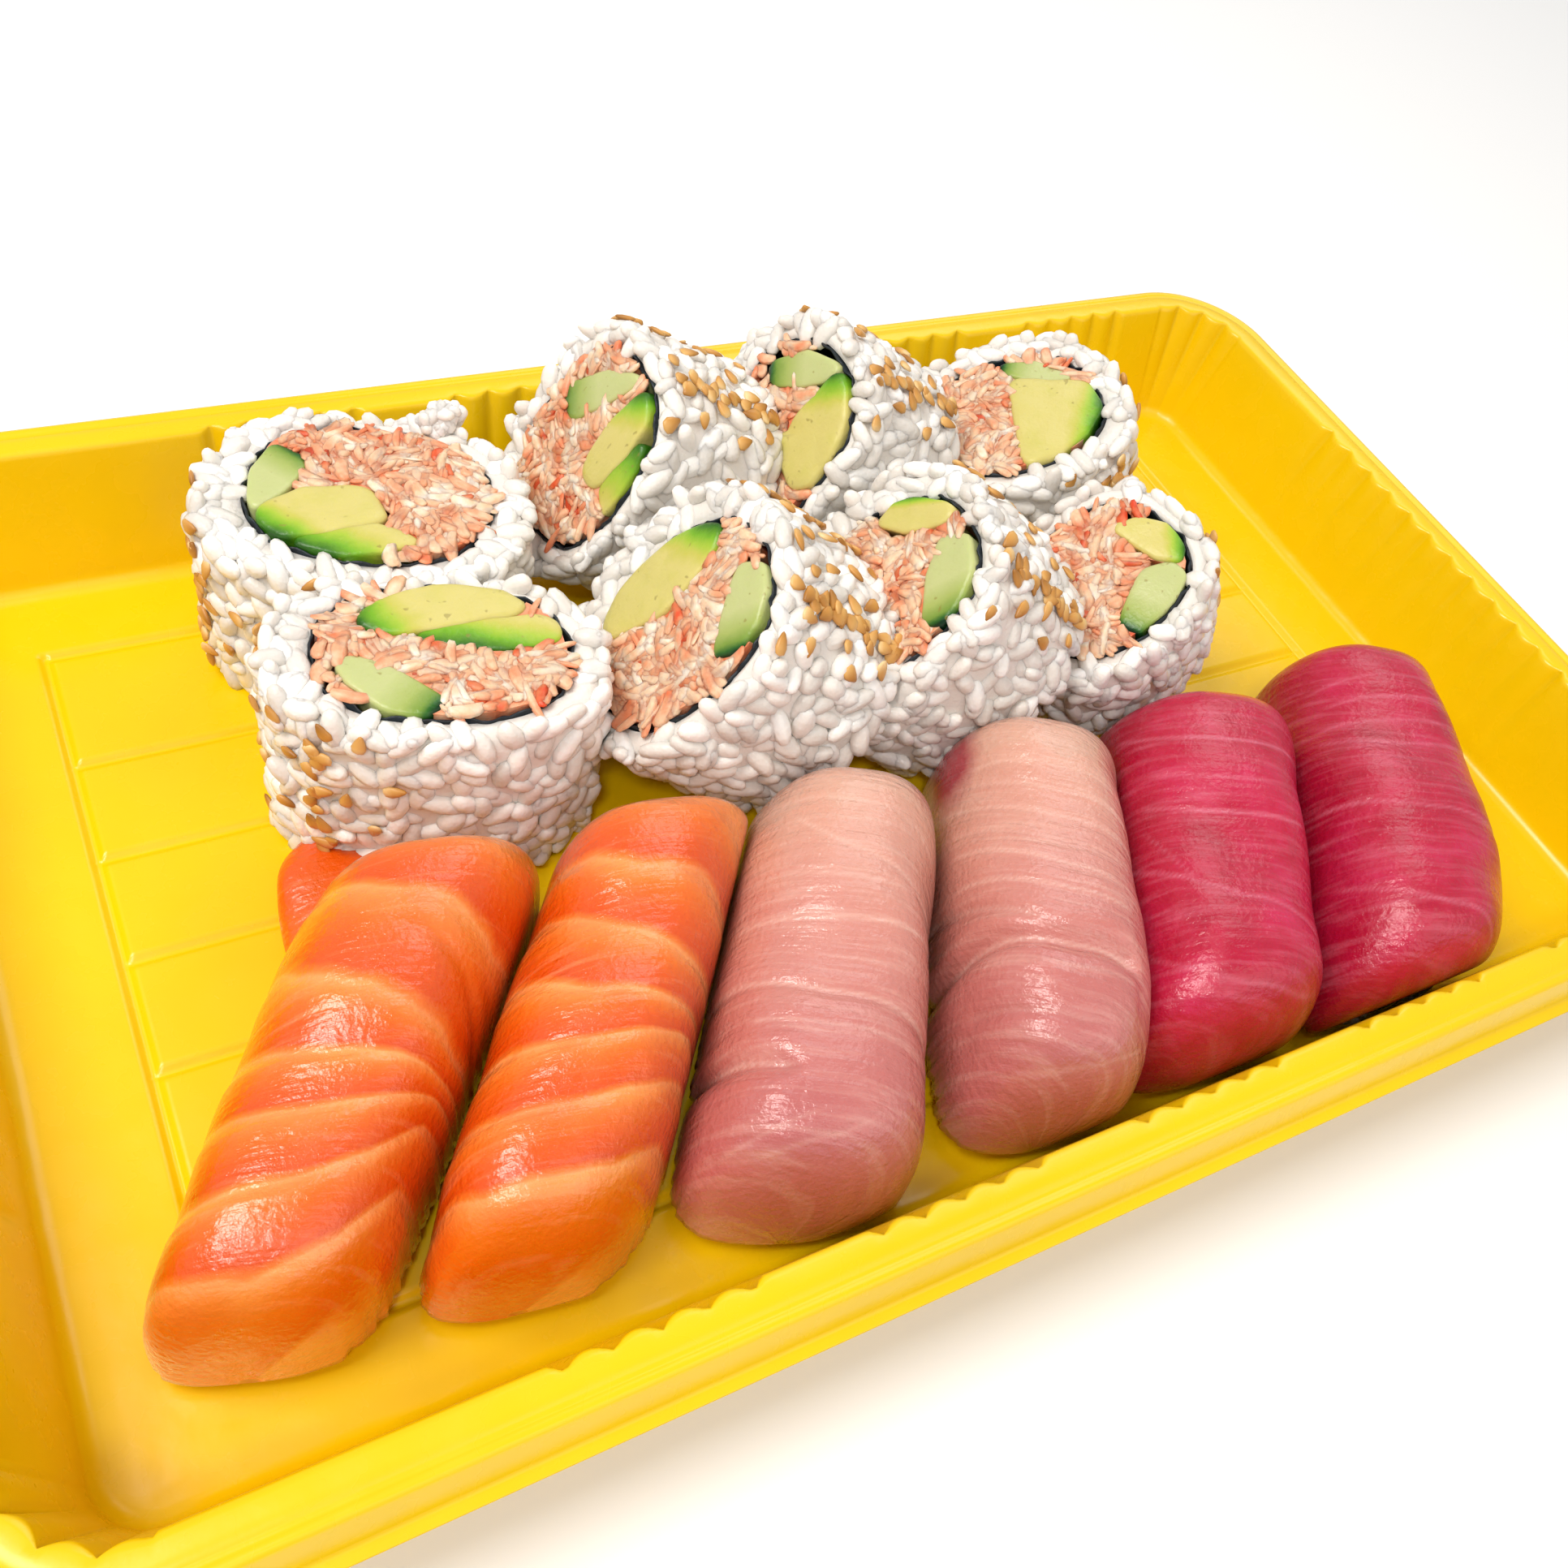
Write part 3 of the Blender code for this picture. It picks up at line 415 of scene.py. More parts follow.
def oval(half, turn):
    """Points of an oval at the given turns: x^p / a^p + y^p / b^p = 1, with p = OVAL."""
    c, s = np.cos(turn), np.sin(turn)
    x = half[0] * np.sign(c) * np.abs(c) ** (2 / OVAL)
    y = half[1] * np.sign(s) * np.abs(s) ** (2 / OVAL)
    return np.stack([x, y], -1)


def oval_level(places, half):
    """The oval's sum x^p / a^p + y^p / b^p, which is below 1 inside it and 1 on its edge."""
    return (np.abs(places / half) ** OVAL).sum(1)


def at_height(flat, height):
    """Points of the plane with their height, which is one number or one for each."""
    return np.concatenate([flat, np.broadcast_to(height, len(flat))[:, None]], 1)


def unit_length(vectors):
    """Vectors divided by their lengths."""
    return vectors / np.linalg.norm(vectors, axis=1, keepdims=True)


def even_turns(half, count, start=0.0):
    """Turns that space points evenly along an oval's edge."""
    fine = np.linspace(0, 2 * np.pi, 721)
    edge = oval(half, fine)
    run = np.concatenate([[0], np.cumsum(np.linalg.norm(np.diff(edge, axis=0), axis=1))])
    return np.interp(((np.arange(count) + start) / count * run[-1]) % run[-1], run, fine)


def girth(half):
    """Length of an oval's edge."""
    edge = oval(half, np.linspace(0, 2 * np.pi, 361))
    return np.linalg.norm(np.diff(edge, axis=0), axis=1).sum()


def bulge(turn, height, seed):
    """Slow unevenness of a hand-rolled side: a few sines round it and along it, in millimetres."""
    return (0.42 * np.sin(2 * turn + seed) + 0.34 * np.sin(3 * turn + 2.3 * seed + height * 0.16)
            + 0.26 * np.sin(5 * turn - 1.7 * seed - height * 0.23))


def press(number, local, grow):
    """Shrinks points of a roll towards its axis until they are clear of the rolls that press it.

    Returns the points and by how much each has shrunk.
    """
    kept = local.copy()
    shrink = np.ones(len(local))
    for one, other in PRESSED_BY:
        if one != number:
            continue
        half = np.array(ROLLS[other]["half"]) + grow
        for _ in range(PRESS_STEPS):
            there = to_roll(ROLLS[other], to_tray(ROLLS[number], kept))
            inside = oval_level(there[:, :2], half) < 1
            inside &= (there[:, 2] < grow) & (there[:, 2] > -ROLLS[other]["length"] - grow)
            if not inside.any():
                break
            shrink[inside] -= PRESS_STEP
            kept[:, :2] = local[:, :2] * shrink[:, None]
    return kept, shrink


def grain_shape(around, rings, blunt, bend):
    """A unit grain along x: radius (1 - x^2)^blunt, bent by a parabola, with closed poles."""
    along = -np.cos(np.linspace(0, np.pi, rings + 2)[1:-1])
    turn = np.arange(around) / around * 2 * np.pi
    radius = (1 - along ** 2) ** blunt
    x = np.broadcast_to(along[:, None], (rings, around))
    y = radius[:, None] * np.cos(turn) + bend * (along ** 2)[:, None]
    z = radius[:, None] * np.sin(turn)
    body = np.stack([x, y, z], 2).reshape(-1, 3)
    points = np.concatenate([body, [[-1, bend, 0], [1, bend, 0]]]) / 2
    return points, *closed_faces(rings, around)


def scatter(name, unit, centres, along, up, sizes):
    """Copies of a unit shape as one mesh, each at its centre with its own axes and sizes.

    Whatever would go through the tray's floor is pressed flat on it.
    """
    points, *faces = unit
    along = unit_length(along)
    side = unit_length(np.cross(up, along))
    axes = np.stack([along, side, np.cross(along, side)], 1)
    placed = (points[None] * sizes[:, None, :]) @ axes + centres[:, None, :]
    placed[..., 2] = np.maximum(placed[..., 2], FLOOR_Z - CONTACT)
    shift = (np.arange(len(centres)) * len(points))[:, None, None]
    faces = [(part[None] + shift).reshape(-1, part.shape[1]) for part in faces]
    return mesh_object(name, placed.reshape(-1, 3), *faces)


def side_points(roll, spacing, chance):
    """Scattered places on a roll's side, as turn and height, in rows shifted by half a step.

    They keep at least 1.1 mm from the cut faces.
    """
    rows = max(2, round((roll["length"] - 2.0) / (spacing * ROW_STEP)))
    count = round(girth(roll["half"]) / spacing)
    turns = np.concatenate([even_turns(roll["half"], count, 0.5 * (row % 2)) for row in range(rows)])
    heights = -1.3 - np.repeat(np.arange(rows), count) * (roll["length"] - 2.6) / (rows - 1)
    turns = turns + chance.uniform(-0.45, 0.45, len(turns)) * 2 * np.pi / count
    heights = heights + chance.uniform(-0.4, 0.4, len(heights)) * spacing
    return turns, np.clip(heights, -roll["length"] + 1.1, -1.1)


def face_points(roll, spacing, chance):
    """Scattered places in the ring of rice of a cut face."""
    reach = np.arange(-26, 26, spacing)
    x, y = np.meshgrid(reach, reach * ROW_STEP)
    x = x + np.where(np.arange(len(reach)) % 2, spacing / 2, 0)[:, None]
    places = np.stack([x.ravel(), y.ravel()], 1)
    places += chance.uniform(-0.36, 0.36, places.shape) * spacing
    outer = oval_level(places, np.array(roll["half"]) * 0.97 - 0.9)
    inner = oval_level(places - roll["offset"], np.array(roll["nori"]) + 0.9)
    return places[(outer < 1) & (inner > 1)]


def end_taper(height, length):
    """A roll's girth near its cut faces: one, less 0.05 (1 - d / 2.5)^2 at d from a face."""
    edge = np.minimum(-height, length + height)
    return 1 - 0.05 * np.clip(1 - edge / 2.5, 0, 1) ** 2


def on_side(roll, turn, height, rise):
    """Points so far above a roll's side, and the directions out of it, (x / a^2, y / b^2)."""
    edge = oval(roll["half"], turn)
    normal = unit_length(edge / np.array(roll["half"]) ** 2)
    flat = edge * end_taper(height, roll["length"])[:, None] + normal * rise[:, None]
    return at_height(flat, height), at_height(normal, 0.0)


def lying_on(outward, tilt, chance):
    """Random directions along a surface, tilted out of it by a share of their length."""
    along = unit_length(np.cross(outward, chance.normal(size=outward.shape)))
    return along + outward * chance.normal(0, tilt, len(outward))[:, None]


def grain_sizes(count, chance):
    """Length, width and thickness of grains, each about a tenth more or less than usual."""
    return np.array(GRAIN) * chance.normal(1.0, 0.1, (count, 3)).clip(0.78, 1.25)


def roll_grains(number):
    """Centres, directions, outward normals and sizes of the grains of one roll.

    Grains on the side that another roll squeezes to less than half way are left out, and so are
    those in a cut face that it touches at all.
    """
    roll = ROLLS[number]
    chance = np.random.default_rng(100 + number)
    turn, height = side_points(roll, GRAIN_SPACING, chance)
    sink = 0.75 + chance.uniform(-0.45, 0.4, len(turn)) - 0.55 * bulge(turn, height, number)
    centres, outward = on_side(roll, turn, height, -sink)
    centres, shrink = press(number, centres, 1.5)
    keep = shrink > 0.45
    centres, outward = centres[keep], outward[keep]
    for level, sign in ((-FACE_LEVEL, 1), (-roll["length"] + FACE_LEVEL, -1)):
        places = face_points(roll, FACE_SPACING, chance)
        lift = chance.uniform(-0.3, 0.3, len(places)) * sign
        flat, shrink = press(number, at_height(places, level + lift), 1.5)
        flat = flat[shrink > 0.97]
        centres = np.concatenate([centres, flat])
        outward = np.concatenate([outward, np.tile([0.0, 0.0, sign], (len(flat), 1))])
    along = lying_on(outward, 0.22, chance)
    sizes = grain_sizes(len(centres), chance)
    centres = to_tray(roll, centres)
    axes = roll_axes(roll)[1]
    centres[:, 2] = np.maximum(centres[:, 2], FLOOR_Z + GRAIN[2] / 2)
    along, outward = along @ axes.T, outward @ axes.T
    if number == LUMP_ROLL:
        out = unit_length(chance.normal(size=(LUMP_GRAINS, 3)))
        centres = np.concatenate([centres, LUMP_CENTRE + out * LUMP_HALF])
        along = np.concatenate([along, np.cross(out, chance.normal(size=out.shape))])
        outward = np.concatenate([outward, out])
        sizes = np.concatenate([sizes, np.array(GRAIN) * chance.normal(0.95, 0.08, (len(out), 3))])
    return centres, along, outward, sizes


def build_core(number):
    """The pressed rice behind the grains: the roll's oval with a hole where the nori runs."""
    roll = ROLLS[number]
    turn = np.arange(72) / 72 * 2 * np.pi
    low = -roll["length"]
    # Its rings run down the side, and those near the cut faces lie further in, as a rounding.
    heights = np.concatenate([[-CORE_CUT, -1.3, -3.2], np.linspace(-6, low + 6, 5),
                              [low + 3.2, low + 1.3, low + CORE_CUT]])
    inset = np.array([2.4, 1.5, *[CORE_DEPTH] * 7, 1.5, 2.4])
    rings = []
    for height, cut in zip(heights, inset):
        edge = oval(np.array(roll["half"]) - cut, turn)
        grow = 1 + 0.4 * bulge(turn, height, number) / np.linalg.norm(edge, axis=1)
        rings.append(at_height(edge * grow[:, None], height))
    hole = oval(np.array(roll["nori"]) + 0.15, turn) + roll["offset"]
    rings += [at_height(hole, low + CORE_CUT), at_height(hole, -CORE_CUT)]
    points = to_tray(roll, press(number, np.concatenate(rings), 0.2)[0])
    points[:, 2] = np.maximum(points[:, 2], FLOOR_Z + 0.4)
    faces = grid_faces(len(rings), len(turn), wrap_rows=True, wrap_columns=True)
    return mesh_object("roll_%d_rice_core" % (number + 1), points, faces[:, ::-1])


def lay_grains(name, seed, centres, along, outward, sizes):
    """A piece of separate grains, each with a tone of its own."""
    made = scatter(name, unit_grain, centres, along, outward, sizes)
    tones = np.random.default_rng(seed).uniform(0, 1, len(centres))
    point_value(made, "grain_tone", np.repeat(tones, len(unit_grain[0])))
    return made


def boiled_rice(name, dark, light):
    """Boiled short-grain rice: milky, with light soaking a millimetre in, and a moist gloss.

    Each grain has a tone from dark to nearly white; the core is dark all over, as painted shade.
    """
    made, tree, shader = new_material(name, {
        "Roughness": 0.28, "IOR": 1.4, "Subsurface Weight": 0.35, "Subsurface Radius": (1.0, 0.85, 0.7),
        "Subsurface Scale": 1.2 * MM})
    where = add(tree, "ShaderNodeTexCoord").outputs["Object"]
    tone = add(tree, "ShaderNodeAttribute", attribute_name="grain_tone").outputs["Fac"]
    colour = add(tree, "ShaderNodeValToRGB", {"Fac": tone},
                 stops=((0.0, dark), (0.5, light), (1.0, "#F8F5F0")))
    dents = add(tree, "ShaderNodeTexNoise", {"Vector": where, "Scale": lumps(0.9), "Detail": 2.0})
    dented = add(tree, "ShaderNodeBump", {"Height": dents, "Distance": 0.16 * MM})
    tree.links.new(colour.outputs[0], shader.inputs["Base Color"])
    tree.links.new(dented.outputs[0], shader.inputs["Normal"])
    return made


grain_rice = boiled_rice("boiled_rice_grains", "#D9D4CD", "#E8E3DC")
# The core is painted darker than most grains, as shade in the gaps between them.
gap_shaded_rice = boiled_rice("boiled_rice_core", "#E2DDD6", "#E8E4DE")
unit_grain = grain_shape(8, 5, 0.42, 0.12)
for number in range(len(ROLLS)):
    label = "roll_%d_rice" % (number + 1)
    show(build_core(number), gap_shaded_rice, "rice")
    show(lay_grains(label + "_grains", number, *roll_grains(number)), grain_rice, "rice", label)


# Nori. Sheets of dried and toasted seaweed under the rice, softened by it: near-black with a
# green and blue cast, matt, with crumpled edges where the knife went through.

NORI = 0.45  # thickness of the softened sheet


def nori_edge(roll, number, turn):
    """The sheet's line in the cut face: the roll's inner oval with small crumples."""
    crumple = (0.22 * np.sin(9 * turn + number) + 0.16 * np.sin(17 * turn + 2.1 * number)
               + 0.1 * np.sin(31 * turn + 0.7 * number))
    edge = oval(np.array(roll["nori"]) - NORI / 2, turn)
    return edge * (1 + crumple / np.linalg.norm(edge, axis=1))[:, None] + roll["offset"]


def build_nori(number):
    """A closed wall along the nori's line, its upper and lower edges a little ragged."""
    roll = ROLLS[number]
    turn = even_turns(roll["nori"], 170)
    line = nori_edge(roll, number, turn)
    outward = unit_length(line - roll["offset"])
    ragged = 0.2 * np.sin(13 * turn + number) + 0.22 * np.sin(29 * turn - number) + 0.12 * np.sin(53 * turn)
    low = -roll["length"]
    # Each line of the wall: its side, its height and how much of the raggedness it has.
    wall = ((0.5, -0.6, 1), (0.15, -0.4, 1), (-0.15, -0.4, 1), (-0.5, -0.6, 1), (-0.5, -4.0, 0),
            (-0.5, low + 4.0, 0), (-0.5, low, -1), (0.5, low, -1), (0.5, low + 4.0, 0), (0.5, -4.0, 0))
    rings = [at_height(line + outward * side * NORI, height + 0.7 * share * ragged)
             for side, height, share in wall]
    points = press(number, np.concatenate(rings), 0.3)[0]
    faces = grid_faces(len(rings), len(turn), wrap_rows=True, wrap_columns=True)
    return mesh_object("roll_%d_nori_sheet" % (number + 1), to_tray(roll, points), faces)


def toasted_nori():
    """Toasted nori: near-black green, faintly mottled, with a dull sheen and a paper-like grain.

    Its fibres are a tenth of a millimetre wide, and are drawn at half a millimetre to show.
    """
    made, tree, shader = new_material("toasted_nori", {"Roughness": 0.48, "IOR": 1.45})
    where = add(tree, "ShaderNodeTexCoord").outputs["Object"]
    mottle = add(tree, "ShaderNodeTexNoise", {"Vector": where, "Scale": lumps(1.6), "Detail": 3.0})
    colour = add(tree, "ShaderNodeValToRGB", {"Fac": mottle},
                 stops=((0.35, "#0B1015"), (0.6, "#15212A"), (0.8, "#22332F")))
    fibres = add(tree, "ShaderNodeTexNoise", {"Vector": where, "Scale": lumps(0.5), "Detail": 3.0})
    crumpled = add(tree, "ShaderNodeBump", {"Height": fibres, "Distance": 0.12 * MM})
    tree.links.new(colour.outputs[0], shader.inputs["Base Color"])
    tree.links.new(crumpled.outputs[0], shader.inputs["Normal"])
    return made


nori_material = toasted_nori()
for number in range(len(ROLLS)):
    show(build_nori(number), nori_material, "nori", "roll_%d_nori" % (number + 1))


# Avocado and cucumber. Ripe avocado in crescents, smooth and buttery, pale yellow inside and
# green towards its skin side. Cucumber in strips with the dark skin left on, its wet flesh
# pale green. Both run from one cut face of a roll to the other.

# Each slice: the direction in which it turns green, how much of it does, and its outline in the
# cut face.
AVOCADO = (
    ((60, 0.38, ((17.3, 9.4), (14.2, 4.9), (9, 0.5), (2.7, -1.2), (-0.7, -1), (-3.7, 5.3),
              (-0.7, 5.6), (6, 9.3), (11.9, 12.3), (15.8, 11.4))),
     (65, 0.8, ((11.2, 13.3), (6, 9.3), (-0, 5.7), (-4.7, 6.7), (-9.5, 9), (-3.9, 11.5),
              (2.4, 13.2), (8.6, 13.7)))),
    ((215, 0.45, ((0.9, 3.6), (-6.8, 3.1), (-14.6, 4.8), (-18.9, 6.6), (-16.8, 8.6),
              (-12.2, 9.7), (-6.9, 10), (0.4, 9.2), (2, 6.9))),
     (200, 0.9, ((0.6, 9.5), (-5.2, 9.7), (-11.5, 11.5), (-8, 14.5), (-2.5, 15.9),
              (2.7, 15.9), (2.7, 13.2)))),
    ((225, 0.35, ((-0.2, 4), (-5.5, 2.6), (-13, 3.1), (-18.9, 4), (-18.1, 7.4),
              (-12.7, 11.6), (-7.5, 13.9), (-0.7, 15.4), (2.4, 10.8))),),
    ((145, 0.32, ((-1.7, -7.1), (-8.2, -2.9), (-13.7, -0.4), (-14, 6.3), (-8.4, 11),
              (-1.9, 14.6), (5, 15.7), (1.6, 7.2))),),
    ((30, 0.35, ((11.1, -6), (6.8, -9.7), (-0.7, -13), (-7.2, -14.4), (-10.5, -14.2),
              (-13.6, -7.9), (-6.8, -6.4), (-0.5, -4.5), (5.7, -3.1), (9.3, -3.9))),
     (80, 0.9, ((5.1, -2.7), (-1.7, -5), (-9.4, -6.4), (-15.2, -7.2), (-16.9, -5.2),
              (-16.4, -1.9), (-9, -0.7), (-0.4, -1.5)))),
    ((215, 0.3, ((13.2, -14.5), (5.1, -13.2), (-4.4, -12.3), (-12.1, -9.4), (-12.7, -6),
              (-6.2, -3.1), (0.9, -1.6), (8.1, -3.6), (12.2, -4.9), (13.3, -9.8))),),
    ((235, 0.35, ((-4.4, -10.2), (-9.4, -12.1), (-12.5, -11.5), (-18.5, -6.1),
              (-18.4, -3.1), (-14.4, -2), (-8.4, -5.3))),),
    ((140, 0.35, ((-7.7, -5.7), (-11.9, -3.7), (-15.1, 0.8), (-14.7, 5.4), (-11.3, 6.8),
              (-9, 3.4), (-9.3, -1.9))),),
)
# Each strip: the direction of its skin, and its outline.
CUCUMBER = (
    (235, ((14.6, -9.5), (9.3, -6.7), (9.5, -3.5), (11.8, 1.5), (14.5, 5.4),
          (17.2, 3.8), (16.9, -2.8))),
    (320, ((-3.6, -11.1), (-12.1, -4.1), (-17.7, 2.4), (-15.1, 3.2), (-8.5, -1.1),
          (-4.3, -4.5), (-1.6, -4.5))),
    (315, ((-8.2, -9.4), (-14.4, -4.2), (-19.1, 1.8), (-18.9, 4), (-13.5, 2.6),
          (-9.7, -1.2), (-6, -6))),
    (320, ((-1.5, -11.5), (-7.6, -9), (-12.5, -2.2), (-8.2, -2.9), (-2.1, -8.1))),
    (145, ((13.5, 2), (11.1, 0.8), (7, 2.8), (2.3, 6.1), (-1.3, 9), (2.4, 11.7),
          (7.1, 10.1), (11.7, 5.7))),
    (70, ((-13.2, 0.5), (-17.4, 3.7), (-15.9, 7.8), (-12.9, 11.4), (-8.6, 13.6),
          (-4.5, 11.3), (-6.9, 8.4), (-10.2, 3.9))),
    (80, ((-12.9, -0.5), (-17.9, 2.7), (-15.7, 8.2), (-12.3, 12.4), (-8.2, 14.7),
          (-4.8, 11.1), (-8.6, 4.1))),
    (20, ((-6, 3.6), (-10.4, 5.9), (-10.4, 9.2), (-6.6, 11.8), (-1.7, 12.2),
          (1.5, 11.7), (3, 8.6), (1.3, 7.1))),
)


def hull_reach(corners, centre, turn):
    """Distance from a point inside a convex outline to its edge, in each direction.

    For every edge of the outline it is the edge's distance over the cosine to its normal, and
    the smallest positive of these counts.
    """
    edge = np.roll(corners, -1, 0) - corners
    normal = np.stack([edge[:, 1], -edge[:, 0]], 1)
    length = np.linalg.norm(normal, axis=1)
    normal = normal[length > 1e-6] / length[length > 1e-6][:, None]
    distance = ((corners[length > 1e-6] - centre) * normal).sum(1)
    cosine = np.stack([np.cos(turn), np.sin(turn)], 1) @ normal.T
    reach = np.where(cosine > 1e-6, distance / np.maximum(cosine, 1e-6), np.inf)
    return reach.min(1)


def convex(points):
    """The convex hull of points, turning anticlockwise, by the monotone chain."""
    order = points[np.lexsort((points[:, 1], points[:, 0]))]
    hull = []
    for chain in (order, order[::-1]):
        side = []
        for point in chain:
            while len(side) > 1:
                one = side[-1] - side[-2]
                two = point - side[-1]
                if one[0] * two[1] - one[1] * two[0] > 1e-9:
                    break
                side.pop()
            side.append(point)
        hull += side[:-1]
    return np.array(hull)


def filling_outline(roll, corners, turn):
    """Where a filling shows in the cut face, as its middle and its reach in each direction.

    It is the hull of its corners, drawn inside the nori, rounded by a running mean, grown by
    half a millimetre and cut off by the nori.
    """
    offset, nori = roll["offset"], np.array(roll["nori"])
    room = oval(nori - NORI - 0.1, np.arange(120) / 120 * 2 * np.pi) + offset
    corners = np.array(corners, float)
    share = oval_level(corners - offset, nori) ** (1 / OVAL)
    drawn = (corners - offset) / np.maximum(share / 0.95, 1)[:, None] + offset
    centre = drawn.mean(0)
    limit = hull_reach(room, centre, turn)
    reach = np.minimum(hull_reach(convex(drawn), centre, turn), limit)
    smooth = np.stack([np.roll(reach, shift) for shift in (-2, -1, 0, 1, 2)]).mean(0)
    return centre, np.minimum(smooth + 0.45, limit)


def build_filling(name, number, corners, proud, green, amount, wobble):
    """A strip of filling with rounded edges and softly uneven cut faces.

    It stands proud of the rice by so many millimetres. Its attribute skin grows from 0 to 1 over
    an amount of the slice, in the direction green.
    """
    roll = ROLLS[number]
    turn = np.arange(96) / 96 * 2 * np.pi
    centre, reach = filling_outline(roll, corners, turn)
    low = -roll["length"]
    # Rings from the middle of the upper face to that of the lower, as share of reach and height.
    rows = ((0.3, proud + 0.12), (0.6, proud + 0.1), (0.82, proud + 0.05), (0.93, proud - 0.06),
            (0.985, proud - 0.32), (1.0, proud - 0.8), (1.0, -8.0), (1.0, low + 8.0), (1.0, low + 0.9),
            (0.985, low + 0.3), (0.93, low + 0.08), (0.82, low), (0.6, low), (0.3, low))
    unit = np.stack([np.cos(turn), np.sin(turn)], 1)
    rings = []
    for share, height in rows:
        flat = centre + unit * (reach * share)[:, None]
        wave = wobble * np.sin(flat[:, 0] * 0.9 + number) * np.cos(flat[:, 1] * 0.7 + 2 * number)
        rings.append(at_height(flat, height + wave * (share < 0.99)))
    middles = np.array([(*centre, proud + 0.12), (*centre, low)])
    points = np.concatenate([*rings, middles])
    heading = np.array([math.cos(math.radians(green)), math.sin(math.radians(green))])
    lean = (points[:, :2] - centre) @ heading
    span = max((unit * reach[:, None] @ heading).max(), 1e-3)
    skin = np.clip((lean / span - (1 - 2 * amount)) / (2 * amount), 0, 1)
    quads, tips = closed_faces(len(rows), len(turn))
    placed = to_tray(roll, press(number, points, 0.4)[0])
    made = mesh_object(name, placed, quads[:, ::-1], tips[:, ::-1])
    point_value(made, "skin", skin)
    return made


def cut_flesh(name, inputs, lump, wander, stops, dent):
    """Cut flesh whose colour runs from its heart to its skin, unevenly, under a dented surface.

    Lump is the size of the unevenness in millimetres and wander how far it moves the colours.
    The cells of the flesh, a few tenths of a millimetre wide, are drawn at 0.7 mm to show.
    """
    made, tree, shader = new_material(name, inputs)
    where = add(tree, "ShaderNodeTexCoord").outputs["Object"]
    skin = add(tree, "ShaderNodeAttribute", attribute_name="skin").outputs["Fac"]
    patches = add(tree, "ShaderNodeTexNoise", {"Vector": where, "Scale": lumps(lump), "Detail": 3.0})
    centred = add(tree, "ShaderNodeMath", {0: patches, 1: 0.5}, operation="SUBTRACT")
    mixed = add(tree, "ShaderNodeMath", {0: centred, 1: wander, 2: skin}, operation="MULTIPLY_ADD")
    colour = add(tree, "ShaderNodeValToRGB", {"Fac": mixed}, stops=stops)
    specks = add(tree, "ShaderNodeTexNoise", {"Vector": where, "Scale": lumps(1.4), "Detail": 1.0})
    speckled = add(tree, "ShaderNodeMapRange", {"Value": specks, "From Min": 0.7, "From Max": 0.76,
                                                "To Max": 0.55})
    finished = add(tree, "ShaderNodeMix", {0: speckled, 6: colour, 7: linear("#8A7A3A")}, data_type="RGBA")
    cells = add(tree, "ShaderNodeTexNoise", {"Vector": where, "Scale": lumps(0.7), "Detail": 3.0})
    dented = add(tree, "ShaderNodeBump", {"Height": cells, "Distance": dent * MM})
    tree.links.new(finished.outputs[2], shader.inputs["Base Color"])
    tree.links.new(dented.outputs[0], shader.inputs["Normal"])
    return made


def ripe_avocado():
    """Ripe avocado: buttery and smooth, yellow inside, bright then deep green at the skin."""
    return cut_flesh("ripe_avocado", {
        "Roughness": 0.36, "IOR": 1.45, "Subsurface Weight": 0.3, "Subsurface Radius": (1.0, 0.9, 0.3),
        "Subsurface Scale": 1.4 * MM}, 3.0, 0.3,
        ((0.0, "#CBC072"), (0.22, "#BEBA54"), (0.43, "#A0BA38"), (0.66, "#70A61E"), (0.9, "#32690F"),
         (1.0, "#1F4D0C")), 0.1)


def fresh_cucumber():
    """Fresh cucumber: wet, pale green flesh, with a thin and very dark green skin."""
    return cut_flesh("fresh_cucumber", {
        "Roughness": 0.26, "IOR": 1.36, "Subsurface Weight": 0.4, "Subsurface Radius": (0.7, 1.0, 0.4),
        "Subsurface Scale": 2 * MM}, 2.0, 0.14,
        ((0.0, "#BAC084"), (0.45, "#A0AE60"), (0.72, "#74923C"), (0.85, "#2E6224"), (0.93, "#0F3318"),
         (1.0, "#0B2A16")), 0.09)


avocado_material = ripe_avocado()
cucumber_material = fresh_cucumber()
for number in range(len(ROLLS)):
    label = "roll_%d_" % (number + 1)
    for order, (green, amount, corners) in enumerate(AVOCADO[number]):
        letter = "ab"[order]
        name = label + "avocado_slice_" + letter
        crescent = build_filling(name, number, corners, 0.75 - 0.35 * order, green, amount, 0.12)
        show(crescent, avocado_material, "avocado", label + "avocado_" + letter)
    green, corners = CUCUMBER[number]
    strip = build_filling(label + "cucumber_strip", number, corners, 0.5, green, 0.5, 0.06)
    show(strip, cucumber_material, "cucumber", label + "cucumber")


# Crab filling. Surimi sticks pulled into shreds: steamed white fish paste in soft fibres,
# with orange-red colour on what was the outside of each stick. It is moist and lies anyhow.

SHRED = (4.2, 1.7, 1.0)  # length, width and thickness
SHRED_SPACING = 1.15
PACKED_TONE = 0.6


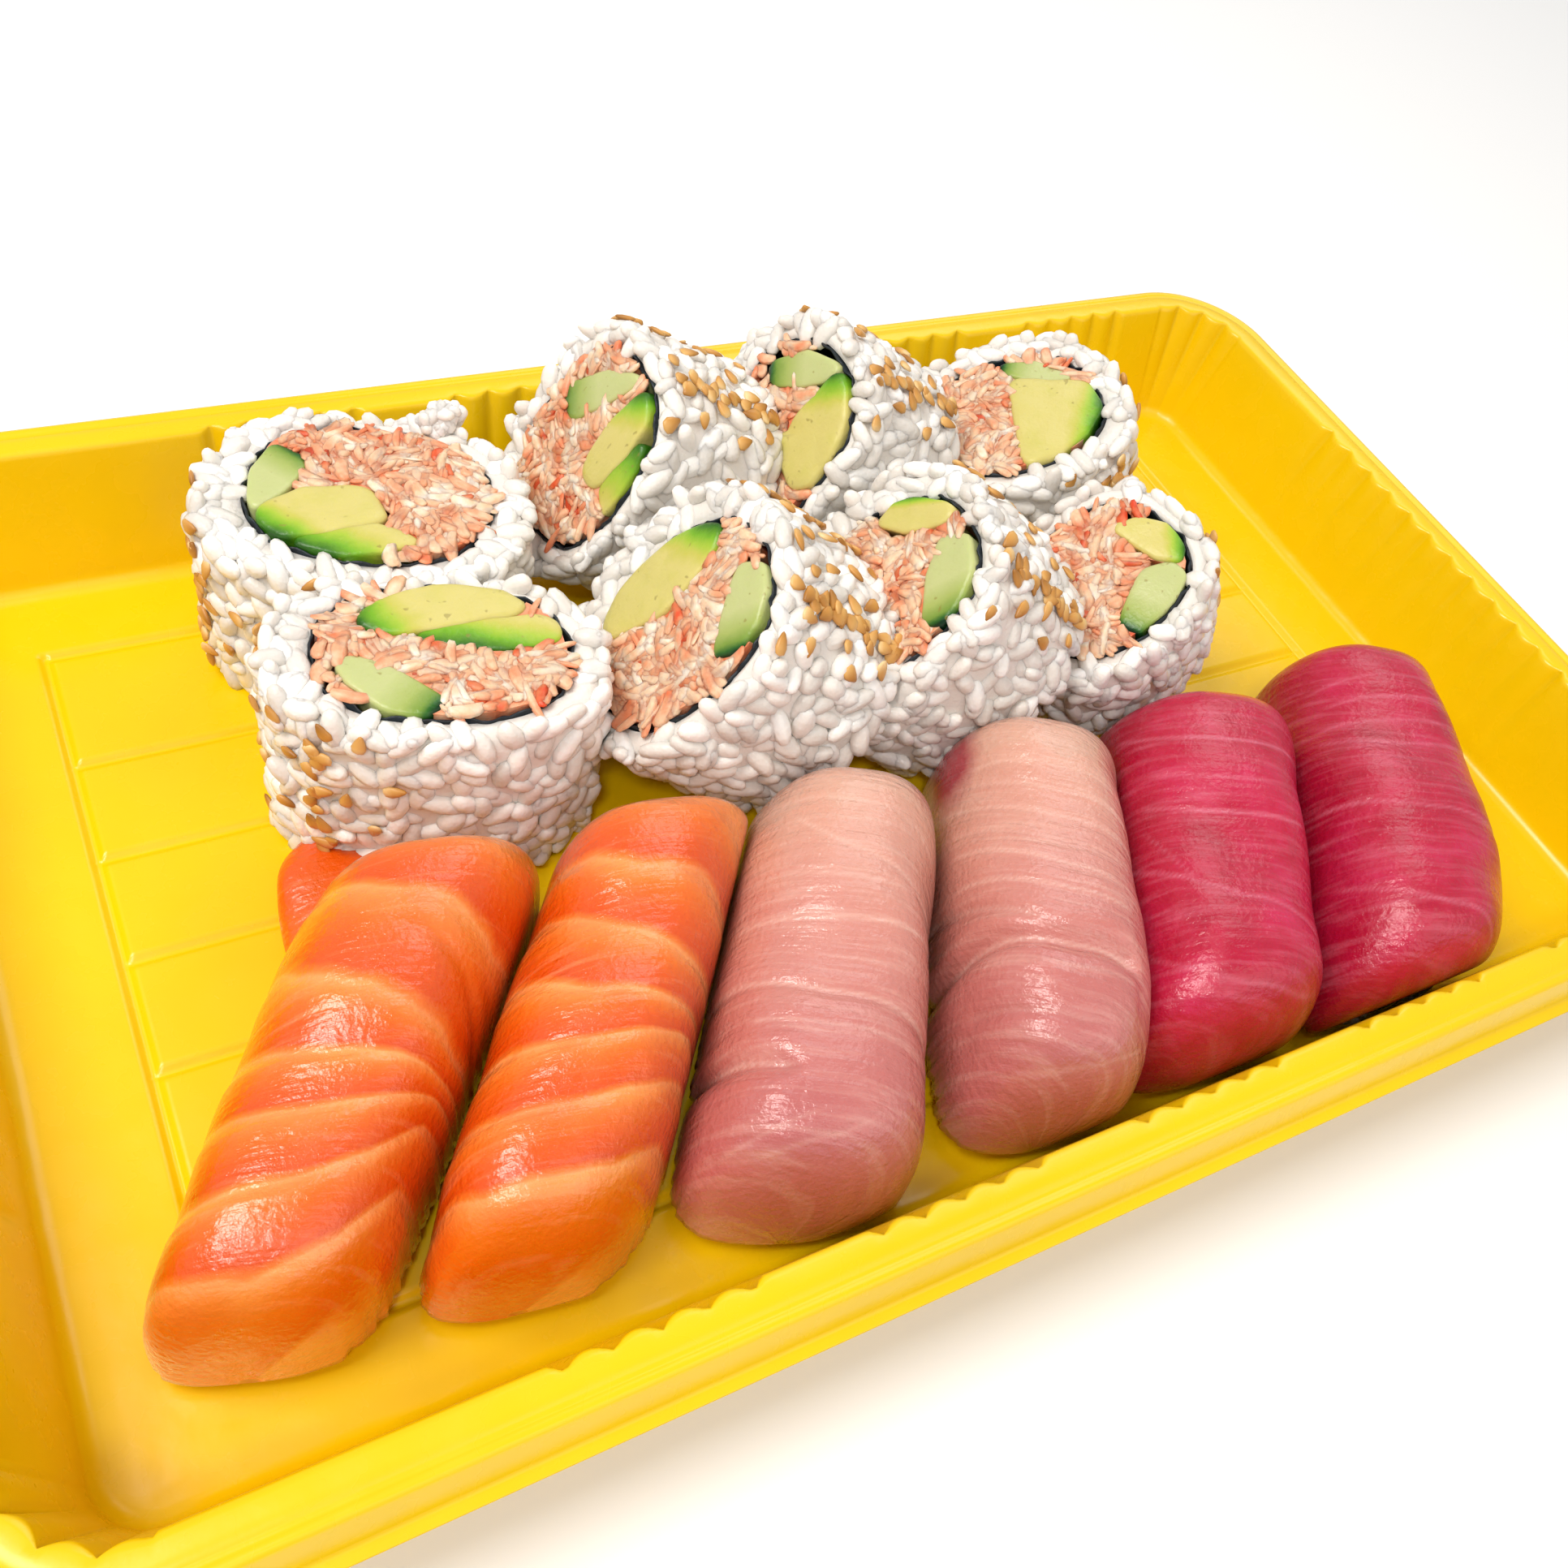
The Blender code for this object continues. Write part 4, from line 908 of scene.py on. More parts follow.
def shredded_crab(name, loose):
    """Surimi: white to salmon pink with orange-red flecks, moist, with fibres along each shred.

    Loose shreds each have their own tone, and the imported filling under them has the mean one.
    Its fibres, a fifth of a millimetre wide, are drawn at half a millimetre to show.
    """
    made, tree, shader = new_material(name, {
        "Roughness": 0.38, "IOR": 1.4, "Subsurface Weight": 0.45, "Subsurface Radius": (1.0, 0.5, 0.35),
        "Subsurface Scale": 2.2 * MM})
    where = add(tree, "ShaderNodeTexCoord").outputs["Object"]
    tone = PACKED_TONE
    if loose:
        tone = add(tree, "ShaderNodeAttribute", attribute_name="shred_tone").outputs["Fac"]
    patches = add(tree, "ShaderNodeTexNoise", {"Vector": where, "Scale": lumps(3.8), "Detail": 3.0})
    centred = add(tree, "ShaderNodeMath", {0: patches, 1: 0.5}, operation="SUBTRACT")
    mixed = add(tree, "ShaderNodeMath", {0: centred, 1: 1.5, 2: tone}, operation="MULTIPLY_ADD")
    colour = add(tree, "ShaderNodeValToRGB", {"Fac": mixed},
                 stops=((0.0, "#F8DEC8"), (0.25, "#F3C2A0"), (0.5, "#EB9F7A"), (0.75, "#E37C54"),
                        (0.92, "#DE5A34"), (1.0, "#D84826")))
    fibres = add(tree, "ShaderNodeTexNoise", {"Vector": where, "Scale": lumps(0.55), "Detail": 2.0})
    ridged = add(tree, "ShaderNodeBump", {"Height": fibres, "Distance": 0.12 * MM})
    tree.links.new(colour.outputs[0], shader.inputs["Base Color"])
    tree.links.new(ridged.outputs[0], shader.inputs["Normal"])
    return made


def filling_taken(number, places):
    """True where a place in the cut face lies on an avocado slice or a cucumber strip."""
    roll = ROLLS[number]
    taken = np.zeros(len(places), bool)
    turn = np.arange(96) / 96 * 2 * np.pi
    for filling in (*AVOCADO[number], CUCUMBER[number]):
        centre, reach = filling_outline(roll, filling[-1], turn)
        away = places - centre
        angle = np.arctan2(away[:, 1], away[:, 0]) % (2 * np.pi)
        limit = np.interp(angle, np.append(turn, 2 * np.pi), np.append(reach, reach[0]))
        taken |= np.linalg.norm(away, axis=1) < limit + 0.5
    return taken


def build_shreds(number):
    """Short bent fibres, heaped over both cut faces wherever avocado and cucumber leave room.

    Their heading drifts over the face by a sine and a cosine, with a random part for each.
    """
    roll = ROLLS[number]
    chance = np.random.default_rng(300 + number)
    reach = np.arange(-19, 19, SHRED_SPACING)
    x, y = np.meshgrid(reach, reach)
    places = np.stack([x.ravel(), y.ravel()], 1)
    centres, directions = [], []
    grain = chance.uniform(0, np.pi)
    for level, sign in ((0.0, 1), (-roll["length"], -1)):
        here = places + chance.uniform(-0.6, 0.6, places.shape)
        inner = oval_level(here - roll["offset"], np.array(roll["nori"]) - 1.1)
        here = here[(inner < 1) & ~filling_taken(number, here)]
        lift = chance.uniform(-0.25, 0.3, len(here)) * sign
        centres.append(at_height(here, level + lift))
        waves = 0.9 * np.sin(here[:, 0] * 0.35 + number) + 0.9 * np.cos(here[:, 1] * 0.4 - number)
        heading = grain + waves + chance.normal(0, 0.5, len(here))
        tilt = chance.normal(0, 0.13, len(here))
        directions.append(np.stack([np.cos(heading), np.sin(heading), tilt], 1))
    centres, directions = np.concatenate(centres), np.concatenate(directions)
    up = chance.normal(size=centres.shape) * 0.22 + [0, 0, 1]
    sizes = np.array(SHRED) * chance.uniform(0.5, 1.6, (len(centres), 3))
    centres = to_tray(roll, press(number, centres, 0.6)[0])
    axes = roll_axes(roll)[1]
    unit = grain_shape(6, 5, 0.3, 0.5)
    made = scatter("roll_%d_crab_shreds" % (number + 1), unit, centres, directions @ axes.T,
                   up @ axes.T, sizes)
    tone = 0.15 + 0.46 * chance.beta(1.5, 1.4, len(centres))
    tone[chance.uniform(size=len(tone)) < 0.03] = 0.85
    point_value(made, "shred_tone", np.repeat(tone, len(unit[0])))
    return made


crab_material = shredded_crab("shredded_surimi", True)
packed_crab = shredded_crab("packed_surimi", False)
for number in range(len(ROLLS)):
    node = "roll_%d_crab" % (number + 1)
    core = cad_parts[node]
    core.data.materials.clear()
    core.data.materials.append(packed_crab)
    show(build_shreds(number), crab_material, "crab")


# Sesame. Hulled seeds toasted to a golden tan, pressed into the sides of the rolls where the
# rice was rolled over them. Each is a drop about three millimetres long.

SEED = (3.3, 1.9, 1.0)  # length, width and thickness
GOLDEN = 0.6180339887  # of the golden ratio, which spreads the seeds along the roll
# Each roll's main band of seeds, as directions from and to round its side, and its count.
SEED_BANDS = ((-5, 120, 42), (132, 250, 60), (130, 245, 56), (90, 210, 34), (-50, 85, 50),
              (125, 238, 72), (125, 238, 60), (135, 245, 38))


def toasted_sesame():
    """Toasted sesame: golden tan, browner towards its tip, with a faint waxy gloss."""
    made, tree, shader = new_material("toasted_sesame", {"Roughness": 0.38, "IOR": 1.46})
    tone = add(tree, "ShaderNodeAttribute", attribute_name="seed_tone").outputs["Fac"]
    colour = add(tree, "ShaderNodeValToRGB", {"Fac": tone},
                 stops=((0.0, "#9A6628"), (0.4, "#C48C44"), (0.75, "#D6A660"), (1.0, "#E8C892")))
    tree.links.new(colour.outputs[0], shader.inputs["Base Color"])
    return made


def build_seeds(number):
    """Drops scattered over a roll's seeded band, thinning out towards the band's ends.

    Each is a unit grain whose width is times 1.1 - 1.3 x. Seeds that would lie between two rolls
    are left out.
    """
    roll = ROLLS[number]
    chance = np.random.default_rng(500 + number)
    first, last, count = SEED_BANDS[number]
    golden = np.arange(count) * GOLDEN % 1
    spread = (np.arange(count) + chance.uniform(0, 1, count)) / count
    turn = np.radians(first + (last - first) * (spread + 0.12 * np.sin(4 * np.pi * spread)))
    height = -roll["length"] * (0.03 + 0.9 * (golden + chance.uniform(-0.06, 0.06, count)).clip(0, 1))
    centres, outward = on_side(roll, turn, height, 0.8 + 0.55 * bulge(turn, height, number))
    keep = press(number, centres, 0.9)[1] > 0.985
    for one, other in PRESSED_BY:
        if other == number:
            there = to_roll(ROLLS[one], to_tray(roll, centres))
            inside = oval_level(there[:, :2], np.array(ROLLS[one]["half"]) + 0.6) < 1
            keep &= ~(inside & (there[:, 2] < 0.6) & (there[:, 2] > -ROLLS[one]["length"]))
    centres, outward = centres[keep], outward[keep]
    along = lying_on(outward, 0.2, chance)
    sizes = np.array(SEED) * chance.uniform(0.85, 1.12, (len(centres), 3))
    axes = roll_axes(roll)[1]
    points, *faces = grain_shape(8, 4, 0.5, 0.0)
    drop = points * np.stack([np.ones(len(points)), 1.1 - 1.3 * points[:, 0], np.ones(len(points))], 1)
    made = scatter("roll_%d_sesame" % (number + 1), (drop, *faces), to_tray(roll, centres),
                   along @ axes.T, outward @ axes.T, sizes)
    tip = 0.5 - points[:, 0]
    own = chance.uniform(-0.25, 0.25, len(centres))
    point_value(made, "seed_tone", (own[:, None] + tip * 0.75 + 0.1).ravel())
    return made


sesame_material = toasted_sesame()
for number in range(len(ROLLS)):
    show(build_seeds(number), sesame_material, "rice")


# Nigiri. A hand-pressed bar of rice under a slice of raw fish that is draped over it: salmon
# with pale fat between its muscle layers, yellowtail, pale pink with fine creases, and tuna,
# deep red with faint fibres. Raw fish is smooth, wet and slightly see-through.

# Each nigiri: its centre on the floor, its slant from the tray's short side, its size, and its
# cuts: how far its front and back ends run askew, and how much wider it is at the back.
NIGIRI = (
    dict(name="salmon_1", centre=(-85.8, -33.6), slant=36.0, length=66.5, width=27.4, height=27.8,
         cuts=(0.36, 0.55, 0.08)),
    dict(name="salmon_2", centre=(-54.6, -37.4), slant=37.0, length=68.5, width=26.6, height=28.2,
         cuts=(0.5, 0.5, 0.05)),
    dict(name="yellowtail_1", centre=(-23.2, -41.3), slant=32.5, length=66.0, width=30.4, height=27.8,
         cuts=(0.22, 0.15, -0.05)),
    dict(name="yellowtail_2", centre=(12.4, -42.4), slant=27.5, length=64.0, width=29.6, height=28.6,
         cuts=(0.18, 0.0, 0.04)),
    dict(name="tuna_1", centre=(43.4, -44.2), slant=32.0, length=63.5, width=33.0, height=27.4,
         cuts=(0.36, 0.12, 0.03)),
    dict(name="tuna_2", centre=(80.4, -45.4), slant=29.0, length=66.5, width=32.4, height=27.4,
         cuts=(0.42, 0.0, -0.04)),
)
FISH_FOOT = 2.6  # height of a slice's lower edge over the floor
FISH_SIDE = 3.6  # its thickness at the sides
FISH_THICK = 7.5  # and on top
BAR_FOOT = 0.3  # height of the rice's underside


def bar_point(share, angle, length, width, height, foot, cuts):
    """A point of half an oval bar: share runs from -1 at the front to 1, angle from 0 to pi.

    The width follows (1 - share^p)^(1/3), where p is 9 at the front and 16 at the squarer back,
    and the height (1 - share^q)^0.38, where q is 8 and 12. The section is an arch of exponent
    2.5 with a squarer right shoulder. Both ends are cut askew.
    """
    front, back, flare = cuts
    near = np.abs(share)
    taper = (1 - near ** np.where(share > 0, 16.0, 9.0)) ** (1 / 3) * (1 + flare * share)
    c = np.cos(angle)
    x = 0.5 * width * taper * np.sign(c) * np.abs(c) ** np.where(c > 0, 0.68, 0.8)
    rise = (1 - near ** np.where(share > 0, 12.0, 8.0)) ** 0.38
    z = foot + (height - foot) * rise * np.sin(angle).clip(0) ** 0.8
    y = share * length / 2 + x * (front * (1 - share) + back * (1 + share)) / 2
    return np.stack(np.broadcast_arrays(x, y, z), -1)


def least(value, limit, softness):
    """The smaller of two numbers, rounded off: limit - s log(1 + e^((limit - value) / s))."""
    return limit - softness * np.logaddexp(0, (limit - value) / softness)


def lay_on_tray(nigiri, points):
    """A bar's own frame to the tray's, flattened where it meets its neighbours and the wall.

    Neighbours meet in an upright plane midway between their sides, and a slice comes no
    nearer to the front wall's slope than half a millimetre.
    """
    order = NIGIRI.index(nigiri)
    turn = np.array(Matrix.Rotation(math.radians(-nigiri["slant"]), 3, "Z"))
    placed = points @ turn.T + np.array([*nigiri["centre"], FLOOR_Z])
    for other, side in ((order - 1, -1), (order + 1, 1)):
        if 0 <= other < len(NIGIRI):
            beside = NIGIRI[other]
            mean = math.radians((nigiri["slant"] + beside["slant"]) / 2)
            across = np.array([math.cos(mean), -math.sin(mean)]) * side
            middle = (np.array(nigiri["centre"]) + beside["centre"]) / 2
            middle += across * (nigiri["width"] - beside["width"]) / 4
            reach = (placed[:, :2] - middle) @ across
            placed[:, :2] += np.outer(least(reach, -0.12, 0.35) - reach, across)
    margin = np.interp(placed[:, 2], (FLOOR_Z + FLOOR_FILLET, RIM_Z), (WALL_BASE, RIM_FLAT))
    wall = RIM_DEPTH / 2 - margin - FLUTE_DEPTH * 0.2 - 0.5
    placed[:, 1] = -least(-placed[:, 1], wall, 0.5)
    return placed


def crease(along, across, place, slope, curve, first, last):
    """Distance from a slanting, curved line over a slice, and one where the line runs.

    The line is along = place + slope * across + curve * across^2, from first to last across.
    """
    line = place + slope * across + curve * across ** 2
    runs = np.clip((across - first) / 3 + 1, 0, 1) * np.clip((last - across) / 3 + 1, 0, 1)
    return along - line, runs * runs * (3 - 2 * runs)


# Where a salmon slice's muscle layers begin, from the back end to the front, measured along it
# at five places across it.
LAYER_ACROSS = (-12.0, -6.0, 0.0, 6.0, 12.0)
SALMON_LAYERS = {
    "salmon_1": ((34, 33, 31, 29, 27), (25, 22.5, 19.3, 15.5, 12), (12.4, 8.2, 4.7, 0.3, -2.4),
                 (-0.4, -1.6, -3.3, -4.6, -5.4), (-9.2, -10.1, -10.4, -9.2, -7.6),
                 (-19.6, -20, -19.4, -16.2, -11), (-27.6, -29, -29.4, -26, -19),
                 (-38, -39, -39, -37, -32)),
    "salmon_2": ((34, 32, 29.5, 27, 23), (22.5, 19.8, 16.4, 14.6, 11.6), (14.4, 11.2, 6.6, 2.4, 1.4),
                 (3.6, 0, -3, -4.6, -4.6), (-8, -9.2, -9.8, -9.4, -7.8), (-17.4, -18.2, -18, -16.8, -14.4),
                 (-25.6, -27.6, -27.3, -26.2, -22.6), (-36, -38, -38, -37, -34)),
}
# The creases of each slice: place along it, slope, curve, first and last across, width, depth
# and how pale the line is.
CREASES = {
    "salmon_1": ((14.5, -0.75, 0.0, 2, 16, 1.1, 0.45, 0.0),),
    "salmon_2": (),
    "yellowtail_1": ((12.6, -0.75, 0.013, -6, 15, 0.8, 0.11, 0.8), (7.8, -0.2, 0.0, -13, 3, 0.7, 0.06, 0.6),
                     (1.6, -0.12, 0.003, -14, 15, 0.8, 0.1, 0.9), (-9.1, -0.25, 0, -20, 15, 1.0, 0.4, 0.9),
                     (-20.6, -0.3, 0, -26, -5, 1.3, 1.3, 0.8), (-14.4, -0.2, 0, -8, 10, 0.7, 0.05, 0.5),
                     (21.0, -0.3, -0.01, -12, 10, 0.8, 0.06, 0.4),
                     (-25.5, 0.5, 0.02, -16, -2, 0.9, 0.1, 0.3), (-28.5, 0.4, 0.03, -14, 2, 0.9, 0.1, 0.3)),
    "yellowtail_2": ((-13.2, -0.35, -0.009, -24, 5, 1.5, 1.9, 0.8),
                     (-11.8, -0.6, 0.0, -24, -6, 0.9, 0.6, 0.6),
                     (-1.0, -0.48, 0.0, -14, 2, 0.8, 0.09, 0.8), (-5.4, -0.42, 0.0, -14, 4, 0.8, 0.09, 0.8),
                     (3.4, -0.42, 0.0, -15, 8, 0.7, 0.06, 0.5), (8.0, -0.42, 0.0, -15, 12, 0.7, 0.07, 0.7),
                     (12.6, -0.4, 0.0, -15, 12, 0.7, 0.06, 0.6),
                     (17.0, -0.38, -0.01, -12, 12, 0.8, 0.07, 0.6),
                     (-24.6, -0.35, 0.0, -14, 0, 0.9, 0.5, 0.3), (-29.4, 0.1, 0.02, -8, 8, 0.8, 0.12, 0.3),
                     (-17.8, -0.3, 0.0, -2, 12, 0.7, 0.05, 0.5)),
    "tuna_1": ((15.5, -0.12, 0.012, -15, 12, 0.7, 0.07, 0.9), (1.7, -0.2, 0.01, -12, 8, 0.7, 0.08, 1.0),
               (-13.5, -0.55, 0.005, -20, 14, 0.8, 0.12, 1.0), (-27.0, -0.3, 0.02, -18, 10, 0.8, 0.10, 0.6),
               (21.0, -0.1, 0.0, -10, 8, 0.8, 0.05, 0.4), (8.0, -0.15, 0.01, -10, 12, 0.7, 0.05, 0.5),
               (-20.0, -1.6, 0.0, -12, -6, 1.0, 0.10, 0.7)),
    "tuna_2": ((16.0, -0.05, 0.0, -10, 6, 0.7, 0.06, 0.8), (5.8, -0.1, 0.012, -12, 12, 0.7, 0.07, 0.9),
               (-7.8, -0.36, 0.0, -14, 12, 0.8, 0.10, 1.0), (-25.2, -0.6, 0.0, -14, 8, 0.8, 0.10, 0.9),
               (20.5, 0.0, 0.0, -12, 8, 0.8, 0.05, 0.6), (11.0, -0.08, 0.0, -12, 8, 0.7, 0.05, 0.6)),
}
# How much the fibres of a slice slant across it.
FIBRE_SLOPE = {"salmon_1": 0.0, "salmon_2": 0.0, "yellowtail_1": -0.2, "yellowtail_2": -0.42,
               "tuna_1": -0.22, "tuna_2": -0.3}
# Dark patches at an edge of a slice: centre along and across, reach along and across, strength.
BLOODLINES = {"yellowtail_1": (18.0, 15.5, 10.0, 3.0, 0.3), "yellowtail_2": (25.0, -15.5, 8.0, 5.0, 1.0)}
NO_BLOODLINE = (0.0, 0.0, 1.0, 1.0, 0.0)


def layer_number(name, along, across):
    """How many muscle layers lie behind a point, with the fraction of its own layer passed."""
    starts = np.array(SALMON_LAYERS[name], float)
    here = np.stack([np.interp(across, LAYER_ACROSS, row) for row in starts])
    number = np.zeros_like(along)
    for one, two in zip(here[:-1], here[1:]):
        number += np.clip((one - along) / np.maximum(one - two, 0.6), 0, 1)
    return number


def fish_relief(name, seed, along, across, over):
    """How far a slice's outside is raised, how far its creases sink it, and its layer attribute.

    It is raised by slow sine waves and by a step at the start of each muscle layer. A crease is a
    bell curve of the distance from its line, with a low swell on either side. The attribute layer
    is the number of layers behind a point of salmon, and elsewhere how pale a crease's line is.
    """
    relief = 0.6 * np.sin(along * 0.13 + seed) * np.sin(over)
    relief = relief + 0.35 * np.sin(along * 0.27 + across * 0.2 + seed)
    relief = relief + 0.35 * np.sin(across * 0.3 + along * 0.11 + 2 * seed)
    layer, folds = np.zeros_like(relief), np.zeros_like(relief)
    for place, slope, curve, first, last, wide, depth, light in CREASES[name]:
        away, runs = crease(along, across, place, slope, curve, first, last)
        folds = folds - depth * runs * np.exp(-(away / wide) ** 2)
        folds = folds + 0.25 * depth * runs * np.exp(-((away - 2.2 * wide) / (1.3 * wide)) ** 2)
        folds = folds + 0.4 * depth * runs * np.exp(-((away + 3.4 * wide) / (2.2 * wide)) ** 2)
        layer = np.maximum(layer, light * runs * np.exp(-((away - 0.25) / 0.3) ** 2))
    if name in SALMON_LAYERS:
        layer = layer_number(name, along, across)
        part = layer % 1.0
        relief = relief + 0.5 * (np.clip(part * 6, 0, 1) * (1 - part) ** 1.3 - 0.35)
    return relief, folds, layer


def build_fish(nigiri):
    """A slice draped over its bar, as one closed skin.

    Each row of the mesh goes over the outside and back along the hollow that the rice fills,
    and all rows shrink to a point at both ends. The outside moves straight away from the bar's
    middle line by its relief, its creases and, near its lower edge, a torn line of sines.
    """
    name, cuts = nigiri["name"], nigiri["cuts"]
    length, width, height = nigiri["length"], nigiri["width"], nigiri["height"]
    rows, outer, inner = 230, 90, 14
    share = np.sin(np.linspace(-np.pi / 2, np.pi / 2, rows + 2)[1:-1])[:, None]
    over = np.linspace(0, np.pi, outer)[None, :]
    shell = bar_point(share, over, length, width, height, FISH_FOOT, cuts)
    along = np.broadcast_to(share * length / 2, shell.shape[:2])
    across = np.broadcast_to((np.pi / 2 - over) * width / 2, shell.shape[:2])
    seed = 3.0 * NIGIRI.index(nigiri)
    relief, folds, layer = fish_relief(name, seed, along, across, over)
    middle = np.stack([np.zeros(shell.shape[:2]), shell[..., 1], np.full(shell.shape[:2], FISH_FOOT)], -1)
    out = shell - middle
    out /= np.linalg.norm(out, axis=-1, keepdims=True) + 1e-9
    fade = (1 - np.abs(share) ** 10) * (0.35 + 0.65 * np.sin(over).clip(0) ** 0.5)
    torn = (0.32 * np.sin(along * 2.3 + seed) + 0.26 * np.sin(along * 4.1 - 2 * seed)
            + 0.2 * np.sin(along * 0.9))
    lifted = (np.minimum(relief, 0.8) * fade + folds * (1 - share ** 10)
              + 0.6 * torn * (1 - np.sin(over)) ** 9)
    under = np.linspace(np.pi, 0, inner)[None, :]
    hollow = bar_point(share, under, length - 2 * FISH_SIDE, width - 2 * FISH_SIDE, height - FISH_THICK,
                       FISH_FOOT, cuts)
    loop = np.concatenate([shell + out * lifted[..., None], hollow], 1)
    ends = np.array([(0, -length / 2, FISH_FOOT), (0, length / 2, FISH_FOOT)])
    points = np.concatenate([loop.reshape(-1, 3), ends])
    quads, tips = closed_faces(rows, outer + inner)
    made = mesh_object(name + "_slice", lay_on_tray(nigiri, points), quads[:, ::-1], tips[:, ::-1])
    inside = hollow.shape[:2]
    along = np.concatenate([along, np.broadcast_to(share * length / 2, inside)], 1)
    across = np.concatenate([across, np.broadcast_to((np.pi / 2 - under) * width / 2, inside)], 1)
    layer = np.concatenate([layer, np.zeros(inside)], 1)
    place, side, reach, breadth, strength = BLOODLINES.get(name, NO_BLOODLINE)
    blood = strength * np.exp(-((along - place) / reach) ** 2 - ((across - side) / breadth) ** 2)
    fibre = along - FIBRE_SLOPE[name] * across
    end = length / 2 * MM
    for label, values, tip in (("bloodline", blood, 0), ("along", along * MM, end),
                               ("fibre", fibre * MM, end), ("across", across * MM, 0), ("layer", layer, 0)):
        point_value(made, label, np.concatenate([values.ravel(), [-tip, tip]]))
    return made


def wet_fish(name, radius, film):
    """Raw fish in general: even, wet and dense, so light soaks in and comes out coloured.

    Film is the weight of the wet film on it. Returns its values, by the names of the attributes
    they come from, and places squeezed so that a pattern runs ten times its width along a fibre.
    """
    made, tree, shader = new_material(name, {
        "IOR": 1.4, "Coat Weight": film, "Coat Roughness": 0.09, "Subsurface Weight": 0.35,
        "Subsurface Radius": radius, "Subsurface Scale": 1.8 * MM})
    where = add(tree, "ShaderNodeTexCoord").outputs["Object"]
    value = {label: add(tree, "ShaderNodeAttribute", attribute_name=label).outputs["Fac"]
             for label in ("along", "across", "fibre", "layer")}
    over_fibres = add(tree, "ShaderNodeCombineXYZ", {0: value["fibre"], 1: value["across"]})
    squeezed = add(tree, "ShaderNodeMapping", {"Vector": over_fibres, "Scale": (1.0, 0.1, 1.0)})
    return made, tree, shader, where, value, squeezed


def wet_surface(tree, shader, where, squeezed, fibre_depth):
    """Fine fibres and a pitted wet film, which breaks up the highlights as in the photograph.

    Muscle fibres are a few tenths of a millimetre wide and the film's pits are finer still. Both
    are drawn at about a millimetre to show.
    """
    fibres = add(tree, "ShaderNodeTexNoise", {"Vector": squeezed, "Scale": lumps(1.1), "Detail": 3.0})
    pits = add(tree, "ShaderNodeTexNoise", {"Vector": where, "Scale": lumps(1.0), "Detail": 4.0,
                                            "Roughness": 0.55})
    sheen = add(tree, "ShaderNodeTexNoise", {"Vector": where, "Scale": lumps(4.5), "Detail": 2.0})
    grooves = add(tree, "ShaderNodeBump", {"Height": fibres, "Distance": fibre_depth * MM})
    pitted = add(tree, "ShaderNodeBump", {"Height": pits, "Distance": 0.22 * MM, "Normal": grooves})
    rough = add(tree, "ShaderNodeMapRange", {"Value": sheen, "From Min": 0.35, "From Max": 0.65,
                                             "To Min": 0.22, "To Max": 0.44})
    tree.links.new(pitted.outputs[0], shader.inputs["Normal"])
    tree.links.new(pitted.outputs[0], shader.inputs["Coat Normal"])
    tree.links.new(rough.outputs[0], shader.inputs["Roughness"])


def raw_salmon():
    """Raw salmon: orange, each muscle layer pale with fat where it begins and fading from there."""
    made, tree, shader, where, value, squeezed = wet_fish("raw_salmon", (1.0, 0.35, 0.1), 1.0)
    cloud = add(tree, "ShaderNodeTexNoise", {"Vector": where, "Scale": lumps(6.3), "Detail": 3.0})
    moved = add(tree, "ShaderNodeMath", {0: cloud, 1: 0.16, 2: value["layer"]},
                operation="MULTIPLY_ADD")
    part = add(tree, "ShaderNodeMath", {0: moved}, operation="FRACT")
    layers = add(tree, "ShaderNodeValToRGB", {"Fac": part},
                 stops=((0.0, "#E67A26"), (0.05, "#EE9C56"), (0.16, "#EA8C3E"), (0.38, "#E46E16"),
                        (0.65, "#DE5604"), (0.9, "#D64A02"), (1.0, "#E67A26")))
    body = add(tree, "ShaderNodeTexNoise", {"Vector": where, "Scale": lumps(14), "Detail": 2.0})
    plain = add(tree, "ShaderNodeValToRGB", {"Fac": body}, stops=((0.35, "#D85202"), (0.65, "#E46A0C")))
    broken = add(tree, "ShaderNodeMapRange", {"Value": body, "From Min": 0.3, "From Max": 0.62,
                                              "To Min": 0.55})
    colour = add(tree, "ShaderNodeMix", {0: broken, 6: plain, 7: layers}, data_type="RGBA")
    streaks = add(tree, "ShaderNodeTexNoise", {"Vector": squeezed, "Scale": lumps(1.9), "Detail": 4.0,
                                               "Roughness": 0.65})
    amount = add(tree, "ShaderNodeMapRange", {"Value": streaks, "From Min": 0.56, "From Max": 0.8,
                                              "To Max": 0.4})
    finished = add(tree, "ShaderNodeMix", {0: amount, 6: colour.outputs[2], 7: linear("#F8AE78")},
                   data_type="RGBA")
    tree.links.new(finished.outputs[2], shader.inputs["Base Color"])
    wet_surface(tree, shader, where, squeezed, 0.2)
    return made


